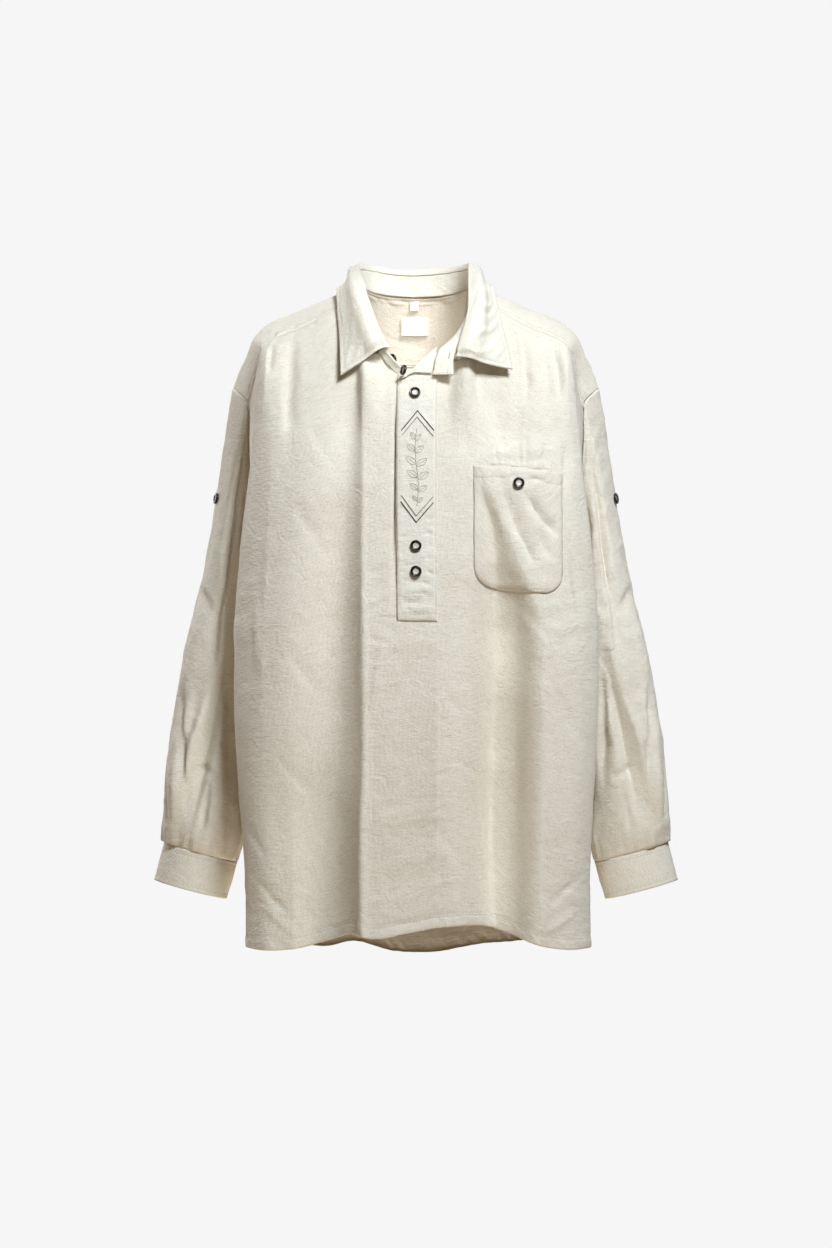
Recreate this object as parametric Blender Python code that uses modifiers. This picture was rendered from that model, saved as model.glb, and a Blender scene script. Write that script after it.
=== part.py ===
"""Long-sleeved popover overshirt in its worn, hollow form, with no wearer.

Frame: metres, +Z up, the front faces -Y and +X is the wearer's left.
The origin is the middle of the neck opening, level with the top of the shoulders.
Every piece that a maker cuts and sews is an object of its own, a thin wall of cloth.
"""

import bmesh
import bpy
import numpy as np
from mathutils import Vector

# Driving dimensions, in metres
CLOTH = 0.0016            # wall of one layer of heavy linen
DOUBLE_CLOTH = 0.0022     # wall of collar, stand, placket and cuff, two layers and a stiffener
SEAM_GAP = 0.0003         # space between two pieces at a seam
ARMPIT_Z = -0.330         # level of the underarm, where sleeve, front and back meet
BUTTON_STEPS = 14         # sides of a turned button
PLACKET_LEFT = -0.0218    # free edge of the placket band, on the wearer's right
PLACKET_RIGHT = 0.0250    # sewn edge of the placket band
PLACKET_BOTTOM = -0.402
SLOT_HALF = 0.062         # half the slit under the placket, as a share of the front's half width
ROLL_HEIGHT = 0.0052      # how far the stand stays under the roll of the collar
FALL_BULGE = 0.0080       # how far the fall bulges out between the roll and its middle
CUFF_TILT = 0.26          # radians by which the cuffs turn outwards

# Where a section's points lie along it: 0 at the middle, 1 at the side seam
FRONT_SHARES = np.array([0.0, 0.29, 0.487, 0.624, 0.711, 0.80, 0.91, 1.0])
BACK_SHARES = np.array([0.0, 0.32, 0.60, 0.80, 0.91, 1.0])

# Shares at which front and yoke are both read, from the neck point to the armhole
ACROSS_SHOULDER = np.array([0.25, 0.28, 0.315, 0.35, 0.39, 0.43, 0.47, 0.51, 0.56, 0.61, 0.66, 0.711,
                            0.76, 0.81, 0.87, 0.935, 1 - 0.0006])

# Share of the way from the middle to the rolled edge (first five), then from there to the seam
FRONT_ACROSS = np.array([0.0, 0.455, 0.750, 0.932, 1.0])
FRONT_BACKWARD = np.array([0.0, 0.07, 0.29, 0.63, 1.0])
ROLL_ACROSS = np.array([0.43, 0.88, 1.0])
ROLL_BACKWARD = np.array([0.30, 0.68, 1.0])
BACK_ACROSS = np.array([0.0, 0.44, 0.765, 0.935, 0.99, 1.0])
BACK_FORWARD = np.array([0.0, 0.06, 0.22, 0.47, 0.73, 1.0])

# Front sections, hem to chest: level, depth of the middle, rolled edge, seam edge
FRONT_COLUMNS = ("z", "middle_y", "roll_x", "roll_y", "seam_x", "seam_y")
FRONT_SECTIONS = (
    (-0.830, -0.148, 0.2085, -0.080, 0.190, 0.012),
    (-0.700, -0.150, 0.2085, -0.081, 0.190, 0.012),
    (-0.600, -0.152, 0.2130, -0.082, 0.190, 0.012),
    (-0.500, -0.153, 0.2175, -0.083, 0.188, 0.012),
    (-0.430, -0.151, 0.2180, -0.084, 0.186, 0.013),
    (-0.330, -0.144, 0.2120, -0.085, 0.186, 0.015),
    (-0.200, -0.126, 0.1960, -0.082, 0.2015, -0.021),
)

# Back sections, hem to shoulder blades: level, depth of the middle, seam edge
BACK_COLUMNS = ("z", "middle_y", "seam_x", "seam_y")
BACK_SECTIONS = (
    (-0.830, 0.120, 0.190, 0.012),
    (-0.700, 0.118, 0.190, 0.012),
    (-0.600, 0.116, 0.190, 0.012),
    (-0.500, 0.115, 0.188, 0.012),
    (-0.430, 0.116, 0.186, 0.013),
    (-0.330, 0.120, 0.186, 0.015),
    (-0.200, 0.118, 0.203, 0.052),
)

# Curves over the shoulder, by share of the half width: 0 at the middle, 1 at the armhole
CURVE_COLUMNS = ("share", "x", "y", "z")
FRONT_NECKLINE = (
    (0.000, 0.000, -0.1000, -0.116),
    (0.070, 0.024, -0.0960, -0.105),
    (0.125, 0.042, -0.0840, -0.083),
    (0.175, 0.056, -0.0660, -0.057),
    (0.215, 0.064, -0.0480, -0.032),
    (0.250, 0.067, -0.0310, -0.013),
)
BACK_NECKLINE = (
    (0.000, 0.000, 0.066, -0.001),
    (0.060, 0.028, 0.061, 0.000),
    (0.120, 0.050, 0.044, 0.002),
    (0.180, 0.064, 0.014, 0.004),
    (0.215, 0.067, -0.008, -0.001),
    (0.250, 0.067, -0.031, -0.013),
)
FRONT_SEAM = (
    (0.250, 0.067, -0.031, -0.013),
    (0.330, 0.098, -0.032, -0.025),
    (0.430, 0.132, -0.034, -0.043),
    (0.530, 0.158, -0.037, -0.054),
    (0.624, 0.176, -0.042, -0.063),
    (0.711, 0.186, -0.046, -0.074),
    (0.800, 0.192, -0.036, -0.098),
    (0.910, 0.198, -0.028, -0.120),
    (1.000, 0.2035, -0.024, -0.138),
)
NECK_MIDDLE = (
    (0.000, 0.000, 0.082, -0.034),
    (0.060, 0.026, 0.079, -0.033),
    (0.120, 0.046, 0.068, -0.028),
    (0.180, 0.066, 0.046, -0.016),
    (0.215, 0.071, 0.030, -0.006),
    (0.250, 0.074, 0.012, 0.003),
)
RIDGE = (
    (0.250, 0.074, 0.012, 0.003),
    (0.330, 0.099, 0.012, -0.003),
    (0.430, 0.133, 0.012, -0.017),
    (0.530, 0.161, 0.012, -0.028),
    (0.624, 0.184, 0.012, -0.040),
    (0.711, 0.199, 0.012, -0.056),
    (0.800, 0.209, 0.012, -0.077),
    (0.910, 0.2175, 0.012, -0.099),
    (1.000, 0.2235, 0.012, -0.117),
)
BACK_SEAM = (
    (0.000, 0.000, 0.100, -0.083),
    (0.250, 0.066, 0.098, -0.084),
    (0.430, 0.122, 0.091, -0.088),
    (0.624, 0.168, 0.080, -0.096),
    (0.800, 0.194, 0.068, -0.111),
    (1.000, 0.206, 0.056, -0.134),
)
# Distance travelled at each curve, from the chest over the shoulder to the blades
CHEST, FRONT_EDGE, SHOULDER, BACK_EDGE = -0.200, -0.040, 0.008, 0.110
BLADE_DROP = 0.116

# Long folds of the front: place and half width at the top and the hem, depth, sharpness
FOLD_COLUMNS = ("top_z", "foot_z", "top_x", "foot_x", "top_half", "foot_half",
                "top_depth", "foot_depth", "centre_side")
FRONT_FOLDS = (
    (-0.150, -0.800, -0.071, -0.082, 0.010, 0.021, 0.002, 0.030, 0.55),
    (-0.385, -0.800, 0.119, 0.127, 0.017, 0.021, 0.004, 0.024, 1.00),
    (-0.080, -0.260, 0.124, 0.118, 0.010, 0.012, 0.004, 0.001, 1.00),
    (-0.075, -0.300, 0.156, 0.166, 0.007, 0.012, 0.004, 0.000, 1.00),
    (-0.070, -0.240, -0.147, -0.150, 0.007, 0.012, 0.004, 0.000, 1.00),
)
BACK_FOLDS = (
    (-0.160, -0.830, -0.090, -0.112, 0.016, 0.024, 0.002, 0.022, 1.00),
    (-0.240, -0.830, 0.010, 0.022, 0.018, 0.026, 0.001, 0.016, 1.00),
    (-0.160, -0.830, 0.100, 0.120, 0.016, 0.024, 0.002, 0.022, 1.00),
)

# Hem levels by distance across, seen from the front
HEM_COLUMNS = ("x", "z")
FRONT_HEM = (
    (-0.215, -0.790), (-0.190, -0.793), (-0.140, -0.789), (-0.105, -0.779), (-0.080, -0.771),
    (-0.052, -0.775), (0.010, -0.764), (0.070, -0.761), (0.108, -0.769), (0.140, -0.783),
    (0.180, -0.791), (0.215, -0.791),
)
BACK_HEM = (
    (-0.190, -0.797), (-0.110, -0.806), (-0.080, -0.802), (-0.030, -0.815), (0.025, -0.815),
    (0.080, -0.806), (0.120, -0.800), (0.190, -0.797),
)

# Sleeve sections below the underarm: middle, half width, half depth, tilt
SLEEVE_COLUMNS = ("x", "y", "z", "half_width", "half_depth", "tilt")
SLEEVE_SECTIONS = (
    (0.2275, 0.024, -0.350, 0.0345, 0.057, 0.00),
    (0.2370, 0.019, -0.430, 0.0405, 0.060, 0.00),
    (0.2440, 0.016, -0.500, 0.0440, 0.057, 0.00),
    (0.2510, 0.012, -0.560, 0.0470, 0.052, 0.03),
    (0.2550, 0.009, -0.615, 0.0480, 0.047, 0.08),
    (0.2580, 0.008, -0.655, 0.0490, 0.040, 0.18),
    (0.2630, 0.008, -0.683, 0.0465, 0.029, CUFF_TILT),
)
CUFF_SECTIONS = (
    (0.2631, 0.008, -0.6834, 0.0465, 0.029, CUFF_TILT),
    (0.2690, 0.0065, -0.7060, 0.0465, 0.029, CUFF_TILT),
    (0.2755, 0.005, -0.7285, 0.0460, 0.0285, CUFF_TILT),
)

# Collar stand from the wearer's right end round the neck to the left end: seam edge, top edge
STAND_COLUMNS = ("low_x", "low_y", "low_z", "top_x", "top_y", "top_z")
COLLAR_STAND = (
    (-0.0220, -0.0965, -0.1055, -0.0130, -0.0970, -0.1070),
    (-0.0270, -0.0945, -0.1005, -0.0165, -0.0990, -0.1000),
    (-0.0345, -0.0900, -0.0920, -0.0240, -0.1000, -0.0885),
    (-0.0425, -0.0830, -0.0815, -0.0315, -0.0970, -0.0770),
    (-0.0500, -0.0740, -0.0685, -0.0395, -0.0910, -0.0630),
    (-0.0560, -0.0650, -0.0555, -0.0475, -0.0830, -0.0440),
    (-0.0635, -0.0470, -0.0305, -0.0560, -0.0660, -0.0170),
    (-0.0665, -0.0300, -0.0115, -0.0615, -0.0450, 0.0050),
    (-0.0668, -0.0080, 0.0005, -0.0663, -0.0150, 0.0240),
    (-0.0637, 0.0140, 0.0052, -0.0675, 0.0180, 0.0340),
    (-0.0497, 0.0437, 0.0032, -0.0550, 0.0480, 0.0358),
    (-0.0280, 0.0607, 0.0012, -0.0290, 0.0630, 0.0330),
    (0.0000, 0.0657, 0.0002, 0.0000, 0.0660, 0.0320),
    (0.0280, 0.0607, 0.0012, 0.0290, 0.0620, 0.0335),
    (0.0497, 0.0437, 0.0032, 0.0500, 0.0500, 0.0350),
    (0.0637, 0.0140, 0.0052, 0.0618, 0.0200, 0.0345),
    (0.0665, -0.0080, 0.0005, 0.0623, -0.0090, 0.0300),
    (0.0650, -0.0300, -0.0110, 0.0620, -0.0360, 0.0140),
    (0.0605, -0.0490, -0.0335, 0.0618, -0.0600, -0.0050),
    (0.0545, -0.0620, -0.0500, 0.0616, -0.0770, -0.0220),
    (0.0460, -0.0740, -0.0610, 0.0603, -0.0880, -0.0370),
    (0.0360, -0.0870, -0.0700, 0.0580, -0.0960, -0.0520),
    (0.0280, -0.0960, -0.0780, 0.0545, -0.1020, -0.0710),
    (0.0240, -0.1020, -0.0880, 0.0506, -0.1070, -0.0903),
    (0.0201, -0.1080, -0.1086, 0.0445, -0.1110, -0.1090),
)
# Collar fall, one row for each stand row but the first three and the last: its middle, its edge
FALL_COLUMNS = ("mid_x", "mid_y", "mid_z", "edge_x", "edge_y", "edge_z")
COLLAR_FALL = (
    (-0.0600, -0.1050, -0.0900, -0.0900, -0.1040, -0.1090),
    (-0.0650, -0.1000, -0.0740, -0.0910, -0.0900, -0.0830),
    (-0.0700, -0.0900, -0.0540, -0.0924, -0.0720, -0.0580),
    (-0.0770, -0.0690, -0.0270, -0.0950, -0.0480, -0.0290),
    (-0.0820, -0.0420, -0.0030, -0.0963, -0.0260, -0.0100),
    (-0.0850, -0.0080, 0.0130, -0.0970, -0.0030, 0.0040),
    (-0.0840, 0.0280, 0.0180, -0.0935, 0.0320, 0.0050),
    (-0.0680, 0.0680, 0.0150, -0.0750, 0.0740, -0.0090),
    (-0.0370, 0.0850, 0.0100, -0.0410, 0.0910, -0.0140),
    (0.0000, 0.0890, 0.0080, 0.0000, 0.0950, -0.0160),
    (0.0370, 0.0850, 0.0100, 0.0410, 0.0910, -0.0140),
    (0.0680, 0.0680, 0.0150, 0.0740, 0.0740, -0.0090),
    (0.0830, 0.0300, 0.0180, 0.0920, 0.0340, 0.0060),
    (0.0840, -0.0060, 0.0150, 0.0950, -0.0030, 0.0065),
    (0.0830, -0.0330, 0.0020, 0.0970, -0.0240, -0.0080),
    (0.0840, -0.0540, -0.0130, 0.0995, -0.0400, -0.0220),
    (0.0850, -0.0720, -0.0310, 0.1025, -0.0540, -0.0380),
    (0.0860, -0.0840, -0.0460, 0.1055, -0.0680, -0.0540),
    (0.0860, -0.0940, -0.0610, 0.1085, -0.0780, -0.0670),
    (0.0840, -0.1020, -0.0780, 0.1115, -0.0880, -0.0830),
    (0.0800, -0.1080, -0.0950, 0.1153, -0.0970, -0.1013),
)
# Top edge of the placket band, by distance across, and the pocket's mouth and foot
PLACKET_TOP = ((-0.022, -0.114), (-0.0106, -0.111), (0.0034, -0.0964), (0.0160, -0.0850), (0.025, -0.0785))
# The over band's top end is turned out and hangs down again: share of the way down, distance out
FLAP_DOWN = np.array([-0.09, -0.09, 0.03, 0.35, 0.68, 1.0])
FLAP_OUT = np.array([0.0032, 0.0050, 0.0058, 0.0056, 0.0054, 0.0052])
FLAP_NARROWING = 0.0065
POCKET_LEFT, POCKET_RIGHT, POCKET_CORNER = 0.0677, 0.1730, 0.025
POCKET_MOUTH = (-0.2184, -0.2270)
POCKET_FOOT = (-0.3610, -0.3710)
# Buttons on the front, by distance across and level, and the face they lie on
BUTTON_COLUMNS = ("name", "x", "z", "out")
FRONT_BUTTONS = (
    ("button_placket_1", -0.0012, -0.1318, 0.0031),
    ("button_placket_2", 0.0000, -0.3135, 0.0031),
    ("button_placket_3", 0.0000, -0.3434, 0.0031),
    ("button_pocket", 0.1208, -0.2395, 0.0055),
)
# The top button hangs edge-on at the foot of the neck opening
TOP_BUTTON = (-0.0133, -0.1098, -0.1041)
TOP_BUTTON_FACES = (-0.90, -0.38, 0.20)
# A button's outer side from the top of its dished middle down to the middle of its back: radius, height
BUTTON_PROFILE = ((0.0, 0.0023), (0.0040, 0.0024), (0.0052, 0.0036), (0.0067, 0.0026), (0.0066, 0.0008), (0.0, 0.0))


def spline(knots, values, at, tame=False):
    """A smooth curve through values at the knots; a tame one never swings past them."""
    knots = np.asarray(knots, float)
    values = np.asarray(values, float)
    at = np.asarray(at, float)
    lift = (slice(None),) + (None,) * (values.ndim - 1)
    gaps = np.diff(knots)[lift]
    rises = np.diff(values, axis=0) / gaps
    middle = (rises[:-1] * gaps[1:] + rises[1:] * gaps[:-1]) / (gaps[:-1] + gaps[1:])
    if tame:
        least = 3 * np.minimum(np.abs(rises[:-1]), np.abs(rises[1:])) * (rises[:-1] * rises[1:] > 0)
        middle = np.clip(middle, -least, least)
    slopes = np.concatenate([rises[:1], middle, rises[-1:]])
    piece = np.clip(np.searchsorted(knots, at, "right") - 1, 0, len(knots) - 2)
    gap = np.diff(knots)[piece]
    f = ((at - knots[piece]) / gap)[lift]
    gap = gap[lift]
    return (values[piece] * (2 * f**3 - 3 * f**2 + 1) + slopes[piece] * gap * (f**3 - 2 * f**2 + f)
            + values[piece + 1] * (3 * f**2 - 2 * f**3) + slopes[piece + 1] * gap * (f**3 - f**2))


def columns(names, rows):
    """A table's columns as arrays, by name."""
    return dict(zip(names, np.array(rows, float).T))


def curve(rows, shares):
    """Points of a curve table at shares from -1 to 1; the wearer's right is its mirror image."""
    table = np.array(rows, float)
    points = spline(table[:, 0], table[:, 1:], np.abs(shares))
    points[:, 0] *= np.sign(shares) + (np.asarray(shares) == 0)
    return points


def front_section(row, shares):
    """One front section as points, from its row of sizes."""
    back = row["seam_y"] - row["roll_y"]
    x = np.concatenate([row["roll_x"] * FRONT_ACROSS,
                        row["roll_x"] + (row["seam_x"] - row["roll_x"]) * ROLL_ACROSS])
    y = np.concatenate([row["middle_y"] + (row["roll_y"] - row["middle_y"]) * FRONT_BACKWARD,
                        row["roll_y"] + back * ROLL_BACKWARD])
    return section(FRONT_SHARES, x, y, row["z"], shares)


def back_section(row, shares):
    """One back section as points, from its row of sizes."""
    x = row["seam_x"] * BACK_ACROSS
    y = row["middle_y"] + (row["seam_y"] - row["middle_y"]) * BACK_FORWARD
    return section(BACK_SHARES, x, y, row["z"], shares)


def section(knots, x, y, z, shares):
    """Half a section made whole by mirroring it, and read at the shares."""
    knots = np.concatenate([-knots[:0:-1], knots])
    points = np.stack([np.concatenate([-x[:0:-1], x]), np.concatenate([y[:0:-1], y])], axis=1)
    flat = spline(knots, points, shares)
    return np.column_stack([flat, np.full(len(flat), z)])


def sections(names, rows, maker, shares):
    """All sections of a table, stacked from the hem up."""
    return np.stack([maker(dict(zip(names, row)), shares) for row in rows])


def folds_at(rows, x, z):
    """Depth of the long folds at points of a panel: each is a rounded valley that widens downwards."""
    depth = np.zeros(np.shape(x))
    for row in rows:
        fold = dict(zip(FOLD_COLUMNS, row))
        along = np.clip((fold["top_z"] - z) / (fold["top_z"] - fold["foot_z"]), 0, 1)
        place = fold["top_x"] + (fold["foot_x"] - fold["top_x"]) * along
        half = fold["top_half"] + (fold["foot_half"] - fold["top_half"]) * along
        deep = fold["top_depth"] + (fold["foot_depth"] - fold["top_depth"]) * along
        away = (x - place) / half
        away = np.where(away * np.sign(-place) > 0, away / fold["centre_side"], away)
        start = np.clip((fold["top_z"] + 0.02 - z) / 0.06, 0, 1)
        depth += deep * start * np.exp(-away**2)
    return depth


def over_shoulder(shares):
    """Rows of points that front, yoke and back share, from the chest over the shoulder."""
    neck = np.abs(shares) < FRONT_SEAM[0][0]
    outer = np.where(neck, FRONT_SEAM[0][0] * np.where(shares < 0, -1, 1), shares)
    pick = neck[:, None]
    front_edge = np.where(pick, curve(FRONT_NECKLINE, shares), curve(FRONT_SEAM, outer))
    yoke_edge = np.where(pick, curve(BACK_NECKLINE, shares), curve(FRONT_SEAM, outer))
    shoulder = np.where(pick, curve(NECK_MIDDLE, shares), curve(RIDGE, outer))
    return front_edge, yoke_edge, shoulder, curve(BACK_SEAM, shares)


def front_rows(shares):
    """Knots and rows of points that the front runs through, from below the hem to over the shoulder."""
    low = sections(FRONT_COLUMNS, FRONT_SECTIONS, front_section, shares)
    front_edge, _, shoulder, _ = over_shoulder(shares)
    neck = (np.abs(shares) < FRONT_SEAM[0][0])[:, None]
    beyond = np.where(neck, front_edge + 0.35 * (front_edge - low[-1]), shoulder)
    knots = [row[0] for row in FRONT_SECTIONS] + [FRONT_EDGE, SHOULDER]
    return np.array(knots), np.concatenate([low, front_edge[None], beyond[None]])


def back_rows(shares):
    """Knots and rows of points that the back runs through, from below the hem to the shoulder."""
    low = sections(BACK_COLUMNS, BACK_SECTIONS, back_section, shares)
    _, _, shoulder, back_edge = over_shoulder(shares)
    knots = [row[0] for row in BACK_SECTIONS] + [CHEST + BLADE_DROP, CHEST + BLADE_DROP + 0.102]
    return np.array(knots), np.concatenate([low, back_edge[None], shoulder[None]])


def to_seam(rows_of, shares, heights):
    """What brings a panel's side on to the side seam below the underarm, less and less inwards."""
    knots, edge = rows_of(np.array([1.0]))
    below = np.minimum(heights, ARMPIT_Z).ravel()
    own = spline(knots, edge[:, 0], below, tame=True)
    side = knots <= ARMPIT_Z
    shared = spline(knots[side], edge[side, 0], below, tame=True)
    gap = (shared - own).reshape(*heights.shape, 3)
    gap *= (np.clip((np.abs(shares) - 0.78) / 0.22, 0, 1) ** 2)[:, None]
    gap[..., 0] *= np.sign(shares)
    return gap


def front_points(shares, heights):
    """The front's outer face at shares across and heights; above the chest the height is a distance."""
    points = spline_each(*front_rows(shares), heights) + to_seam(front_rows, shares, heights)
    points[..., 1] += folds_at(FRONT_FOLDS, points[..., 0], points[..., 2])
    return points


def back_points(shares, heights):
    """The back's outer face at shares across and heights."""
    points = spline_each(*back_rows(shares), heights) + to_seam(back_rows, shares, heights)
    points[..., 1] -= folds_at(BACK_FOLDS, points[..., 0], points[..., 2])
    return points


def yoke_points(shares, heights):
    """The yoke's outer face: heights are distances from its front edge to its back seam."""
    chest = front_section(dict(zip(FRONT_COLUMNS, FRONT_SECTIONS[-1])), shares)
    blade = back_section(dict(zip(BACK_COLUMNS, BACK_SECTIONS[-1])), shares)
    _, yoke_edge, shoulder, back_edge = over_shoulder(shares)
    neck = (np.abs(shares) < FRONT_SEAM[0][0])[:, None]
    before = np.where(neck, 2 * yoke_edge - shoulder, chest)
    rows = np.stack([before, yoke_edge, shoulder, back_edge, blade])
    return spline_each([CHEST, FRONT_EDGE, SHOULDER, BACK_EDGE, BACK_EDGE + BLADE_DROP], rows, heights)


def yoke_heights(travel, shares):
    """Distances at which the yoke is read: travel 0 at its front edge, 1 at the shoulder, 2 at its back."""
    at = np.interp(travel, [0, 1, 2], [FRONT_EDGE, SHOULDER, BACK_EDGE])
    return np.broadcast_to(at[:, None], (len(at), len(shares)))


def spline_each(knots, rows, heights):
    """One smooth line for each column of rows, read at that column's heights."""
    lines = [spline(knots, rows[:, i], heights[:, i], tame=True) for i in range(rows.shape[1])]
    return np.stack(lines, axis=1)


def ring(row, turns):
    """A sleeve section: an oval, from its outermost point by way of the front."""
    angle = 2 * np.pi * turns
    out = row["half_width"] * np.cos(angle)
    return np.column_stack([row["x"] + out * np.cos(row["tilt"]),
                            row["y"] - row["half_depth"] * np.sin(angle),
                            row["z"] + out * np.sin(row["tilt"])])


def armhole(turns):
    """The seam round the armhole: shoulder, front, underarm, back, by share of the turn."""
    one = np.array([1.0])
    steps = np.linspace(0, 1, 13)
    front_heights = (ARMPIT_Z + (FRONT_EDGE - ARMPIT_Z) * steps)[:, None]
    back_top = CHEST + BLADE_DROP
    back_heights = (ARMPIT_Z + (back_top - ARMPIT_Z) * steps)[:, None]
    yoke = yoke_points(one, yoke_heights(np.linspace(0, 2, 13), one))[:, 0]
    front = front_points(one, front_heights)[::-1, 0]
    back = back_points(one, back_heights)[:, 0]
    loop = np.concatenate([yoke[6::-1], front[1:], back[1:], yoke[11:5:-1]])
    lengths = np.concatenate([[0], np.cumsum(np.linalg.norm(np.diff(loop, axis=0), axis=1))])
    underarm = lengths[6 + 12]
    share = np.where(lengths < underarm, 0.5 * lengths / underarm,
                     0.5 + 0.5 * (lengths - underarm) / (lengths[-1] - underarm))
    return spline(share, loop, turns)


def sleeve_points(turns, travel):
    """The left sleeve's outer face, from the armhole (0) to the cuff seam (1)."""
    rows = [armhole(turns)]
    rows += [ring(dict(zip(SLEEVE_COLUMNS, row)), turns) for row in SLEEVE_SECTIONS]
    away = rows[1] - rows[0]
    rows[0] = rows[0] + 0.0007 * away / np.linalg.norm(away, axis=1)[:, None] + [0.0009, 0, 0]
    heights = np.array([-0.130] + [row[2] for row in SLEEVE_SECTIONS])
    knots = (heights[0] - heights) / (heights[0] - heights[-1])
    return np.stack([spline(knots, np.stack(rows)[:, i], travel) for i in range(len(turns))], axis=1)


def link(name, mesh, colour, roughness):
    """Puts a mesh in the garment's collection as a named object with its cloth or button colour."""
    made = bpy.data.objects.new(name, mesh)
    GARMENT.objects.link(made)
    material = bpy.data.materials.get(colour[0]) or bpy.data.materials.new(colour[0])
    material.use_nodes = True
    shader = material.node_tree.nodes["Principled BSDF"]
    shader.inputs["Base Color"].default_value = (*colour[1], 1)
    shader.inputs["Roughness"].default_value = roughness
    shader.inputs["Metallic"].default_value = 0
    mesh.materials.append(material)
    return made


LINEN = ("linen", (0.62, 0.56, 0.45))
TAPE = ("label_tape", (0.80, 0.78, 0.70))
HORN = ("dark_horn", (0.03, 0.025, 0.02))


def cloth(name, points, wall=CLOTH, round_trip=False, turned=False, keep=None, colour=LINEN):
    """A wall of cloth: a grid of outer points, rows by columns, thickened towards the inside."""
    rows, across = points.shape[:2]
    faces = []
    for i in range(rows - 1):
        for j in range(across if round_trip else across - 1):
            if keep is not None and not keep[i, j]:
                continue
            k = (j + 1) % across
            face = (i * across + j, i * across + k, (i + 1) * across + k, (i + 1) * across + j)
            faces.append(face[::-1] if turned else face)
    mesh = bpy.data.meshes.new(name)
    mesh.from_pydata(points.reshape(-1, 3).tolist(), [], faces)
    used = {i for face in faces for i in face}
    if len(used) < rows * across:
        drop_loose(mesh)
    mesh.shade_smooth()
    made = link(name, mesh, colour, 0.85)
    thick = made.modifiers.new("wall", "SOLIDIFY")
    thick.thickness = wall
    thick.offset = -1
    return made


def drop_loose(mesh):
    """Removes the points that no face uses."""
    shape = bmesh.new()
    shape.from_mesh(mesh)
    bmesh.ops.delete(shape, geom=[v for v in shape.verts if not v.link_faces], context="VERTS")
    shape.to_mesh(mesh)
    shape.free()


def front_heights(shares, count):
    """Heights of the front's rows: even steps from the hem to the armpit, then to the top edge."""
    hem = columns(HEM_COLUMNS, FRONT_HEM)
    low_x = front_points(shares, np.full((1, len(shares)), -0.780))[0, :, 0]
    foot = spline(hem["x"], hem["z"], low_x)
    low = foot + (ARMPIT_Z - foot) * np.linspace(0, 1, count[0])[:, None]
    high = ARMPIT_Z + (FRONT_EDGE - SEAM_GAP - ARMPIT_Z) * np.linspace(0, 1, count[1])[1:, None]
    return np.concatenate([low, np.broadcast_to(high, (len(high), len(shares)))])


def make_front():
    """The front: one piece, slit from the neck down to the foot of the placket."""
    inner = np.concatenate([[SLOT_HALF, 0.10, 0.14, 0.17, 0.20, 0.225], ACROSS_SHOULDER])
    shares = np.concatenate([-inner[::-1], inner])
    heights = front_heights(shares, (16, 9))
    near = np.argmin(np.abs(heights[:, len(inner)] - PLACKET_BOTTOM))
    heights[near] = PLACKET_BOTTOM + 0.004
    points = front_points(shares, heights)
    keep = np.ones((len(heights) - 1, len(shares) - 1), bool)
    keep[near:, len(inner) - 1] = False
    return cloth("front", points, keep=keep)


def make_back():
    """The back: one piece from the hem up to the yoke, a little longer than the front."""
    shares = np.concatenate([-np.flip(np.linspace(0, 1, 15)[1:]), np.linspace(0, 1, 15)])
    shares *= 1 - 0.0006
    hem = columns(HEM_COLUMNS, BACK_HEM)
    low_x = back_points(shares, np.full((1, len(shares)), -0.80))[0, :, 0]
    foot = spline(hem["x"], hem["z"], low_x)
    top = CHEST + BLADE_DROP - SEAM_GAP
    low = foot + (ARMPIT_Z - foot) * np.linspace(0, 1, 9)[:, None]
    high = np.broadcast_to((ARMPIT_Z + (top - ARMPIT_Z) * np.linspace(0, 1, 7)[1:])[:, None],
                           (6, len(shares)))
    points = back_points(shares, np.concatenate([low, high]))
    return cloth("back", points, turned=True)


def make_yoke():
    """The yoke: one piece over both shoulders and round the back of the neck."""
    half = np.concatenate([[0, 0.06, 0.12, 0.17, 0.21], ACROSS_SHOULDER])
    shares = np.concatenate([-half[:0:-1], half])
    travel = np.array([0.014, 0.3, 0.65, 1.0, 1.35, 1.7, 1.990])
    return cloth("yoke", yoke_points(shares, yoke_heights(travel, shares)))


def make_sleeves():
    """Both sleeves: tubes from the armhole to the cuff."""
    turns = np.arange(22) / 22
    travel = np.linspace(0, 1, 15)
    left = sleeve_points(turns, travel)
    cloth("sleeve_left", left, round_trip=True, turned=False)
    cloth("sleeve_right", left * [-1, 1, 1], round_trip=True, turned=True)


def make_cuffs():
    """Both cuffs: stiff bands whose ends overlap at the back."""
    turns = np.linspace(0.78, 1.90, 25)
    over = np.clip((turns - 1.66) / 0.10, 0, 1) * 0.0028
    rows = []
    for row in CUFF_SECTIONS:
        size = dict(zip(SLEEVE_COLUMNS, row))
        points = ring(size, turns)
        outward = points - [size["x"], size["y"], size["z"]]
        outward /= np.linalg.norm(outward, axis=1)[:, None]
        rows.append(points + outward * over[:, None])
    left = np.stack(rows)
    cloth("cuff_left", left, wall=DOUBLE_CLOTH)
    cloth("cuff_right", left * [-1, 1, 1], wall=DOUBLE_CLOTH, turned=True)


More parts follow.
